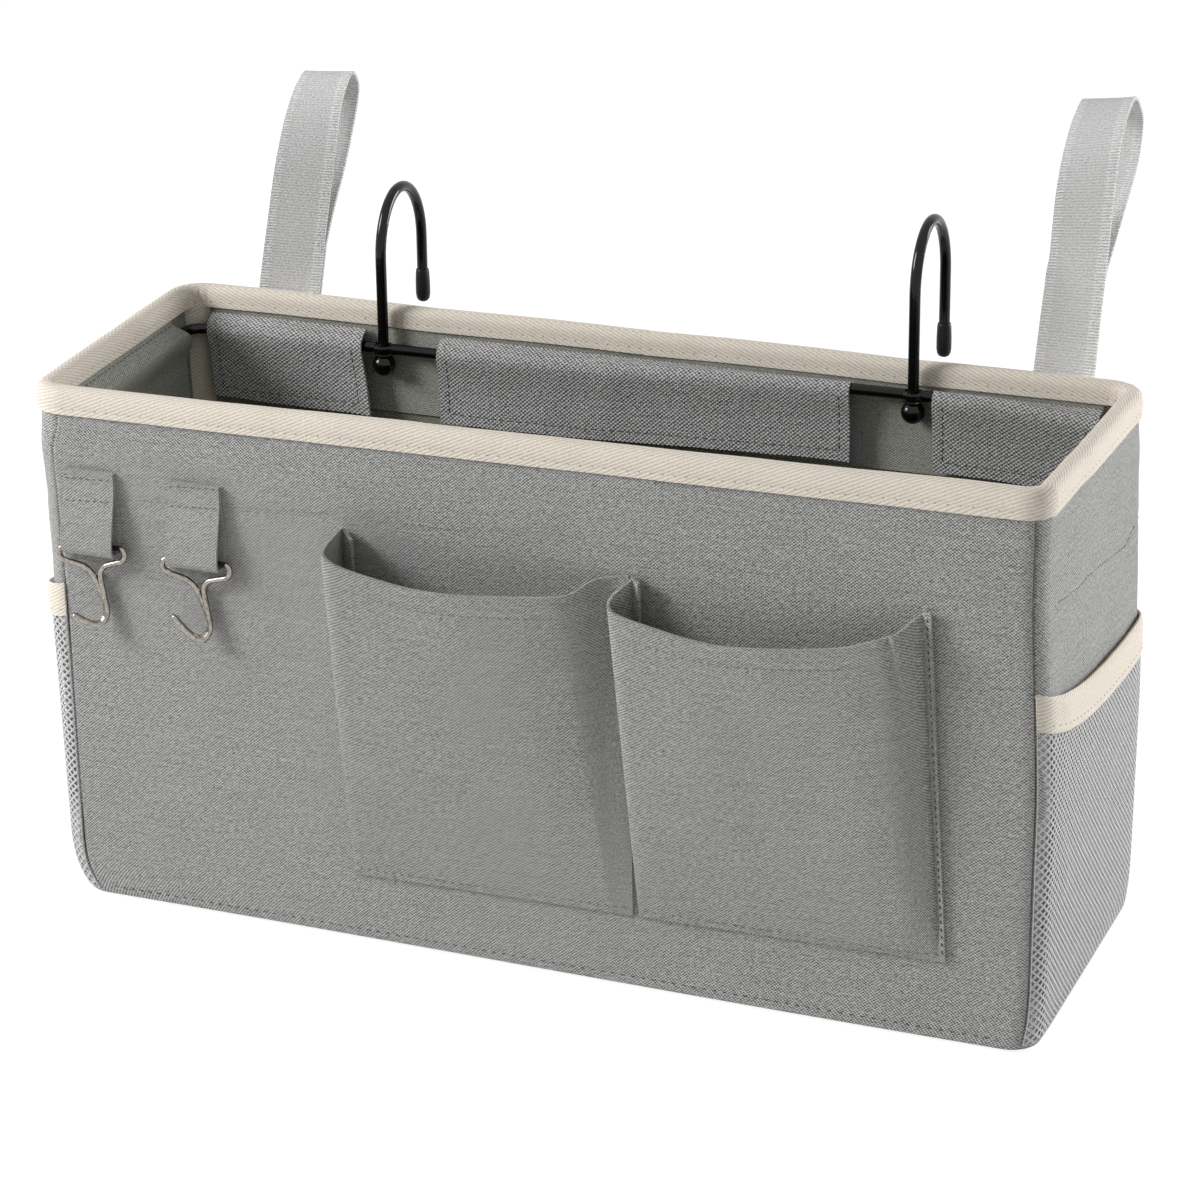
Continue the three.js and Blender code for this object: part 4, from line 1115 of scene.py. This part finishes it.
def webbing(name, dark, light, rib, width):
    """Woven webbing: fine crosswise ribs that blur in the fuzzy middle and stand out along both edges."""
    material, tree, shader = new_material(name)
    cut = add_node(tree, "TexCoord", out="UV")
    across = add_node(tree, "SeparateXYZ", {"Vector": cut}, "X")
    aside = maths(tree, "ABSOLUTE", maths(tree, "ADD", across, -0.5 * width * MM))
    selvage = add_node(tree, "MapRange", {"Value": aside, "From Min": (0.5 * width - 4.5) * MM,
                                          "From Max": (0.5 * width - 3) * MM, "To Min": 0.3, "To Max": 0.9})
    ribs = maths(tree, "MULTIPLY", ribbed(tree, cut, rib, "Y", 2.5, 2.0), selvage)
    fuzz = maths(tree, "MULTIPLY_ADD", grained(tree, cut, 1 / (0.9 * MM), 3.0, 0.7), 1.3, -0.3)
    paint(tree, shader, maths(tree, "ADD", fuzz, ribs), (dark, light), 0.35, 0.95, 0.15, 0.2)
    return material


strap_webbing = webbing("grey polyester webbing", "#a8a8a8", "#fbfbfa", 1.15, STRAP_WIDTH)
for strap_side, strap_x in STRAP_FEET.items():
    strap_lines = [[Vector((0, y, z)) for y, z in line] for line in STRAP_EDGES[strap_side]]
    strap_sides = [measured(smooth_route(line)) for line in strap_lines]
    strap_length = sum(length for length, _ in strap_sides) / 2

    def strap_place(across, along, middle=strap_x, sides=strap_sides):
        drawn = STRAP_DRAW * eased(1 - abs(2 * along - 0.95), 0, 1) * (1 - across)
        beside = Vector((middle + STRAP_WIDTH * (across - 0.5) + drawn, 0, 0))
        return sides[0][1](along).lerp(sides[1][1](along), across) + beside

    loop_strap = cloth("loop_strap_" + strap_side + "_webbing", strap_place, (STRAP_WIDTH, strap_length),
                       (14, 90), STRAP, strap_webbing, ["strap_" + strap_side], "strap_tape", rides=None)
    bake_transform(loop_strap)
    anchor_low, anchor_high = node_box("strap_anchor_" + strap_side)
    anchor_tall = anchor_high.z - anchor_low.z

    def anchor_place(across, along, middle=strap_x, low=anchor_low, tall=anchor_tall):
        return Vector((middle - STRAP_WIDTH * (across - 0.5), low.y + STRAP, low.z + tall * along))

    cloth("strap_foot_" + strap_side, anchor_place, (STRAP_WIDTH, anchor_tall), (14, 20), STRAP,
          strap_webbing, ["strap_anchor_" + strap_side], "strap_tape")
    box_length, box_line = measured([anchor_place(across, along) for across, along in BOX_ROW])
    sew("strap_foot_box_" + strap_side, box_line, box_length, (0, 1, 0), grey_thread, slot="strap_tape")


# Net pockets: a knitted net on each side wall, caught in the corner seams and the foot, with a slack mouth.
# The mouth is bound in the cream tape, which sags in the middle and stands away from the wall.
NET = 0.22
NET_FOOT = 2.5
NET_LOW = 123.0
NET_RISE = 17.0
NET_LEFT_TOP = 133.5
NET_SAG = 9.0
NET_STAND = 0.8
NET_BULGE = {"left": 4.0, "right": 1.0}
NET_CELL = (3.4, 3.0)
NET_YARN = 0.38
NET_BAND = 13.0
NET_TALL = {"left": 125.0, "right": 126.5}
NET_EDGE = 0.2
NET_FALL = 3
NET_HOLD = 0.15
NET_GAP = 0.15
NET_SLACK = 0.35
NET_SWELL = 0.6
NET_SCRAP = 0.3
BAND = 0.7
BAND_ROW = 0.11


def net_top(side, share):
    """The height of a net's mouth along its wall: slack in the middle, or falling rearward at the right."""
    if side == "right":
        return NET_LOW + NET_RISE * math.exp(-NET_FALL * max(0.0, share))
    return NET_LEFT_TOP - NET_SAG * max(0.0, math.sin(math.pi * share)) ** 0.9


def net_loose(share):
    """Nothing at the two seams that hold a net, and one a little way in from them."""
    return eased(min(share, 1 - share), 0, NET_HOLD)


def net_out(side, share, up):
    """How far the net stands off its wall."""
    swell = max(0.0, math.sin(math.pi * share)) ** 0.7
    free = net_loose(share) * (NET_SLACK + up * NET_STAND)
    belly = NET_SWELL * swell * math.sin(math.pi * min(1, up))
    return NET_GAP + free + up * NET_BULGE[side] * swell + belly


knitted_net = mottled("grey knitted net", "#b0b0b1", "#e6e6e6", 0.6, 0.05, 0.9)
for net_side in ("left", "right"):
    net_mesh = bmesh.new()
    net_tall = NET_TALL[net_side]
    net_first, net_last = (end - math.copysign(NET_EDGE, end) for end in wall_ends(net_side))
    net_wide = net_last - net_first
    net_half = net_wide / 2
    net_cells = int((net_wide / NET_CELL[0] + net_tall / NET_CELL[1]) + 4)
    bmesh.ops.create_grid(net_mesh, x_segments=net_cells, y_segments=net_cells, size=net_cells / 2)
    bmesh.ops.rotate(net_mesh, matrix=Matrix.Rotation(math.pi / 4, 3, "Z"), verts=net_mesh.verts)
    bmesh.ops.scale(net_mesh, vec=(*(side * math.sqrt(0.5) for side in NET_CELL), 1), verts=net_mesh.verts)
    for cut_place, cut_way in (((net_half, 0, 0), (1, 0, 0)), ((-net_half, 0, 0), (-1, 0, 0)),
                               ((0, net_tall / 2, 0), (0, 1, 0)), ((0, -net_tall / 2, 0), (0, -1, 0))):
        bmesh.ops.bisect_plane(net_mesh, geom=net_mesh.verts[:] + net_mesh.edges[:] + net_mesh.faces[:],
                               dist=1e-5, plane_co=cut_place, plane_no=cut_way, clear_outer=True)
    net_least = NET_SCRAP * NET_CELL[0] * NET_CELL[1] / 2
    net_whole = [face for face in net_mesh.faces if face.calc_area() > net_least]
    bmesh.ops.inset_individual(net_mesh, faces=net_whole, thickness=NET_YARN, use_even_offset=True)
    bmesh.ops.delete(net_mesh, geom=net_whole, context="FACES")
    net_mesh.normal_update()
    bmesh.ops.solidify(net_mesh, geom=net_mesh.faces[:], thickness=NET)
    for vert in net_mesh.verts:
        net_share = vert.co.x / net_wide + 0.5
        net_up = vert.co.y / net_tall + 0.5
        net_height = NET_FOOT + (net_top(net_side, net_share) - NET_FOOT) * net_up
        net_stand = net_out(net_side, net_share, net_up) + NET + vert.co.z
        vert.co = on_wall(net_side, net_first + net_wide * net_share, net_height, net_stand) * MM
    for face in net_mesh.faces:
        face.smooth = True
    net = finish_mesh(net_mesh, net_side + "_net", knitted_net)
    fit(net, "basket", "net", "mesh_pocket_" + net_side)

    band_fold = [(1.4, -NET_BAND), (1.5, -NET_BAND + 3), (1.6, -6.0), (1.6, -2.0), (1.2, 0.2), (0.2, 1.0),
                 (-0.8, 0.4), (-1.1, -1.6), (-1.1, -6.0), (-1.0, -10.0)]
    band_width, band_section = measured(smooth_route([Vector((out, rise, 0)) for out, rise in band_fold], 4))

    def band_place(across, along, side=net_side, first=net_first, wide=net_wide):
        out, rise, _ = band_section(along)
        top = net_top(side, across)
        height = top + rise + 0.4 * ripple(140 * across, 0, 31, 30)
        up = (height - NET_FOOT) / (top - NET_FOOT)
        out = NET / 2 + out * (0.3 + 0.7 * net_loose(across))
        return on_wall(side, first + wide * across, height, net_out(side, across, min(1, up)) + out)

    cloth(net_side + "_net_band", band_place, (net_wide, band_width), (80, 20), BAND, cream_twill,
          ["mesh_binding_" + net_side], "cream_tape", ease=(0.5, 0))
    sew(net_side + "_net_band_stitches", lambda share, at=band_place: at(share, BAND_ROW), net_wide,
        (1, 0, 0) if net_side == "right" else (-1, 0, 0), pale_thread, slot="cream_tape", pitch=RIM_PITCH,
        stitch=1.3, width=0.6, sink=0.3)


# Front pockets: two canvas pockets sewn to the front wall at their feet and sides, side by side.
# Each is cut wider than its place, so its mouth stands open in a fold at the left and falls back further on.
POCKET_EDGES = {
    "left": [(-64.3, 4.6, 169.4), (-66.8, 3.0, 170.6), (-69.9, 0.4, 171.8), (-71.2, 2.0, 172.2),
             (-70.9, 6.0, 172.2), (-70.5, 13.0, 171.5), (-69.9, 20.0, 170.7), (-68.6, 23.4, 169.5),
             (-65.0, 24.2, 167.2), (-60.5, 24.0, 165.2), (-50.0, 23.9, 163.0), (-34.0, 23.5, 160.4),
             (-18.0, 23.0, 159.9), (-2.0, 22.0, 160.8), (13.0, 20.0, 161.7), (22.4, 17.9, 162.4),
             (26.6, 15.0, 162.7), (29.5, 11.0, 163.8), (32.0, 7.0, 165.6), (35.6, 3.6, 166.6),
             (40.5, 1.6, 167.3), (45.4, 1.3, 168.0)],
    "right": [(51.2, 4.4, 167.0), (49.0, 2.8, 167.7), (46.6, 0.4, 168.2), (46.4, 2.6, 167.4),
              (45.0, 6.0, 166.2), (43.0, 9.4, 164.4), (41.8, 12.6, 162.6), (42.2, 15.2, 160.8),
              (44.4, 17.0, 159.4), (49.0, 17.6, 158.0), (56.0, 18.0, 156.5), (72.0, 18.9, 153.8),
              (87.0, 19.0, 152.6), (102.6, 19.0, 153.7), (117.0, 18.1, 155.1), (132.0, 16.9, 157.2),
              (142.4, 15.2, 160.4), (147.6, 13.6, 161.9), (151.0, 11.4, 163.2), (153.6, 8.2, 164.8),
              (155.6, 5.0, 166.6), (157.8, 3.2, 168.4), (161.2, 3.0, 170.0)],
}
POCKET_FEET = {
    "left": ((0.0, -62.0), (0.058, -71.0), (0.21, -70.4), (0.8, 37.0), (1.0, 45.6)),
    "right": ((0.0, 52.6), (0.045, 47.0), (0.16, 48.4), (0.84, 154.0), (1.0, 169.0)),
}
POCKET_TALL = 138
POCKET_START = -71
POCKET_SPAN = 237
POCKET_FOOT = 28.4
POCKET_FOOT_RISE = 3.2
POCKET_FULL = ((0.0, 0.94), (0.5, 0.9), (0.78, 0.62), (1.0, 0.62))
PLEAT = ((148.7, 159.0), (154.9, 123.0))
PLEAT_CREST = (0.9, 2.6, 2.2)
PLEAT_FOLD = (1.5, 1.1)
SEAM_FOLD = (2.2, 0.974, 1.6)
FOOT_FOLD = 1.6
POCKET_RUMPLE = 0.5
POCKET_FOOT_ROW = 0.022
POCKET_HEM = (0.24, 0.52, 0.935)
POCKET_HEM_LENGTH = 84
POCKET_EDGE = 0.99
POCKET_EDGE_LENGTH = 135

for pocket_side in ("left", "right"):
    pocket_round, pocket_edge = measured(smooth_route(POCKET_EDGES[pocket_side]))

    def pocket_place(across, along, side=pocket_side, edge=pocket_edge):
        top = edge(across)
        foot_x = between(across, POCKET_FEET[side])
        foot_z = POCKET_FOOT + POCKET_FOOT_RISE * (foot_x - POCKET_START) / POCKET_SPAN
        x = foot_x + (top.x - foot_x) * along
        height = foot_z + (top.z - foot_z) * along
        crossing = max(0.0, min(1, (across - 0.2) / 0.1, (1 - across) / 0.1))
        proud = top.y
        if side == "left":
            slack = 1.3 + 18 * min(1.0, (1 - across) / 0.3) ** 0.95
            proud += (slack - proud) * eased(across, 0.6, 0.86) * min(1.0, 2 * (1 - along))
        fullness = between(across, POCKET_FULL) if side == "right" else POCKET_FULL[0][1]
        out = CANVAS + 0.1 + (proud - 0.8) * along ** fullness
        rumple = ripple(x, height, 51 if side == "left" else 57, 40)
        out += POCKET_RUMPLE * crossing * min(1, 4 * along) * rumple
        if side == "right":
            down = (PLEAT[0][1] - height) / (PLEAT[0][1] - PLEAT[1][1])
            line = PLEAT[0][0] + (PLEAT[1][0] - PLEAT[0][0]) * down
            depth = max(0.0, 1 - max(0.0, down) ** 2)
            crest = PLEAT_CREST[0] * dent(x - line - PLEAT_CREST[1], PLEAT_CREST[2])
            out += depth * (crest - PLEAT_FOLD[0] * dent(x - line, PLEAT_FOLD[1]))
            off_seam = (across - SEAM_FOLD[1]) * pocket_round
            out -= SEAM_FOLD[0] * min(1, 8 * along) * dent(off_seam, SEAM_FOLD[2])
        out -= FOOT_FOLD * (1 - along) ** 4 * (1 - eased(across, 0.05, POCKET_FEET[side][2][0]))
        return Vector((x, -HALF_Y - out, height))

    cloth(pocket_side + "_front_pocket", pocket_place, (pocket_round, POCKET_TALL), (110, 70), CANVAS,
          canvas, ["front_pocket_" + pocket_side], "canvas")
    foot_shares = [(foot_x, share) for share, foot_x in POCKET_FEET[pocket_side][2:]]
    foot_from, foot_to = foot_shares[0][0] + 0.8, foot_shares[-1][0] - 1.6

    def pocket_foot_row(share, at=pocket_place, shares=foot_shares, start=foot_from, end=foot_to):
        return at(between(start + (end - start) * share, shares), POCKET_FOOT_ROW)

    sew(pocket_side + "_pocket_foot_stitches", pocket_foot_row, foot_to - foot_from, (0, -1, 0), grey_thread,
        stitch=2.2, width=0.45)
    sew(pocket_side + "_pocket_hem_stitches",
        lambda share, at=pocket_place: at(POCKET_HEM[0] + POCKET_HEM[1] * share, POCKET_HEM[2]),
        POCKET_HEM_LENGTH, (0, -1, 0), grey_thread, stitch=2.4, width=0.36)
sew("pocket_edge_stitches", lambda share: pocket_place(POCKET_EDGE, 0.02 + 0.97 * share), POCKET_EDGE_LENGTH,
    (0, -1, 0), thread_in_painted_shade, pitch=3.1, stitch=1.7, width=0.5)


# Hook tabs: two short folded strips of canvas on the front, sewn across twice at the top.
# Their lower ends stand away from the wall in a loop that carries a small hook.
TAB_LINE = [(2.9, 182.0), (2.7, 177.0), (3.3, 172.0), (5.2, 164.5), (6.9, 157.0), (7.5, 152.2), (6.5, 149.2),
            (4.4, 148.4), (2.3, 149.0), (1.0, 151.4), (0.5, 155.0), (0.4, 166.0), (0.4, 182.0)]
TAB = 1.1
TAB_SPREAD = 1.2
TAB_SHIFT = 1.5
TAB_ROWS = ((178.2, 0.045), (169.4, 0.06))
TAB_FACE = [(height, out) for out, height in TAB_LINE[4::-1]]
TAB_ROW_START = -195.0
TAB_ROW_END = -72.0
TAB_ROW_GAP = 0.8
tab_points = [Vector((0, -HALF_Y - out, height)) for out, height in TAB_LINE]
tab_length, tab_line = measured(smooth_route(tab_points))
tab_spans = []
for tab_side in ("left", "right"):
    tab_low, tab_high = node_box("hook_tab_" + tab_side)
    tab_middle = (tab_low.x + tab_high.x) / 2
    tab_width = tab_high.x - tab_low.x + TAB_SPREAD
    tab_spans.append((tab_middle - tab_width / 2, tab_middle + tab_width / 2))

    def tab_place(across, along, middle=tab_middle, width=tab_width):
        shift = TAB_SHIFT * (eased(along, 0.5, 0.7) - eased(along, 0.7, 0.9))
        return tab_line(along) + Vector((middle - width * (across - 0.5) + shift, 0, 0))

    cloth(tab_side + "_hook_tab", tab_place, (tab_width, tab_length), (10, 60), TAB, canvas,
          ["hook_tab_" + tab_side], "canvas")

for row_index, (row_height, row_slope) in enumerate(TAB_ROWS):
    row_spans = [(TAB_ROW_START, tab_spans[0][0], False), (*tab_spans[0], True),
                 (tab_spans[0][1], tab_spans[1][0], False), (*tab_spans[1], True)]
    if row_index == 1:
        row_spans.append((tab_spans[1][1], TAB_ROW_END, False))
    for span_index, (row_from, row_to, on_tab) in enumerate(row_spans):
        row_from, row_to = row_from + TAB_ROW_GAP, row_to - TAB_ROW_GAP

        def row_place(share, start=row_from, end=row_to, tab=on_tab, height=row_height, slope=row_slope):
            x = start + (end - start) * share
            height += slope * (x - TAB_ROW_START)
            return Vector((x, -HALF_Y - (between(height, TAB_FACE) if tab else 0), height))

        # Stitches on the tabs take the darker thread, painted shade; between the tabs the same row is grey.
        sew("tab_stitches_%d_%d" % (row_index, span_index), row_place, row_to - row_from, (0, -1, 0),
            thread_in_painted_shade if on_tab else grey_thread, pitch=3.0, stitch=1.8, width=0.4)


# Small hooks: each is one nickel plated wire, bent to a shouldered bar, a twisted neck and a doubled hook.
# The bar lies loose in the tab's loop, so the hook swings forward.
SMALL_WIRE = 1.15
SMALL_BAR = (-72.7, 151.0)
SMALL_TURN = 55.0
SMALL_HANG = {"left": (5.0, 0.16), "right": (1.0, 0.22)}
SMALL_NECK = ((-17.0, 0.4), (-21.0, 0.8), (-25.0, 1.0))
SMALL_STRAND = 1.02
SMALL_FLOOR = -30.7
SMALL_TIP = (12.9, 7)
SMALL_LEAN_FROM = -6
SMALL_RISE = {"left": 0.7, "right": 1.4}
# The small hooks' nickel spreads its grain from near black to near white: painted streaks of reflection and
# shade along the wire, beside the lamps' real highlights.
nickel_with_painted_reflections = enamelled("nickel plated steel with painted reflections", "#4b463f", "#cfc9bf", 0.16, 1.4, metal=1.0)
small_half = [(0.3, 0, 0), (7.0, 0, 0), (11.6, 0, 0), (14.0, -0.3, -0.9), (14.5, -0.6, -3.0),
              (13.0, -0.8, -5.0), (8.8, -0.8, -6.2), (4.6, -0.7, -7.5), (2.1, -0.5, -10.0),
              (1.08, -0.2, -13.5)]
small_curl = [(0.9, -27.6), (3.0, -30.0), (5.4, -30.7), (7.9, -29.6), (10.2, -27.2), (12.0, -24.9)]
small_way = Vector((-math.sin(math.radians(SMALL_TURN)), -math.cos(math.radians(SMALL_TURN)), 0))
small_aside = Vector((-small_way.y, small_way.x, 0))
for small_side in ("left", "right"):
    small_low, small_high = node_box("accessory_hook_" + small_side)
    small_middle = Vector(((small_low.x + small_high.x) / 2, *SMALL_BAR))
    small_tilt, small_lean = SMALL_HANG[small_side]
    strands = []
    for strand_side in (1, -1):
        strand = [Vector((strand_side * x, y, z)) for x, y, z in small_half]
        for drop, turned in SMALL_NECK:
            beside = Vector((1, 0, 0)).lerp(small_aside, turned).normalized() * strand_side * SMALL_STRAND
            strand.append(beside + Vector((0, 0, drop)))
        for reach, height in small_curl:
            if reach > 5:
                height = SMALL_FLOOR + (height - SMALL_FLOOR) * SMALL_RISE[small_side]
            beside = small_aside * strand_side * SMALL_STRAND
            strand.append(beside + small_way * reach + Vector((0, 0, height)))
        strands.append(strand)
    small_top = SMALL_FLOOR + SMALL_TIP[1] * SMALL_RISE[small_side]
    small_tip = small_way * SMALL_TIP[0] + Vector((0, 0, small_top))
    small_route = strands[0] + [small_tip] + strands[1][::-1]
    for point in small_route:
        point.x += small_lean * max(0.0, SMALL_LEAN_FROM - point.z)
    small_swing = Matrix.Rotation(math.radians(-small_tilt), 3, "Y")
    small_mesh = bmesh.new()
    small_points = [small_middle + small_swing @ point for point in small_route]
    add_rod(small_mesh, smooth_route(small_points, 5), SMALL_WIRE, sides=12)
    close_and_smooth(small_mesh)
    small_hook = finish_mesh(small_mesh, "small_hook_" + small_side + "_wire", nickel_with_painted_reflections)
    fit(small_hook, "small_hook_" + small_side, "nickel", "accessory_hook_" + small_side)
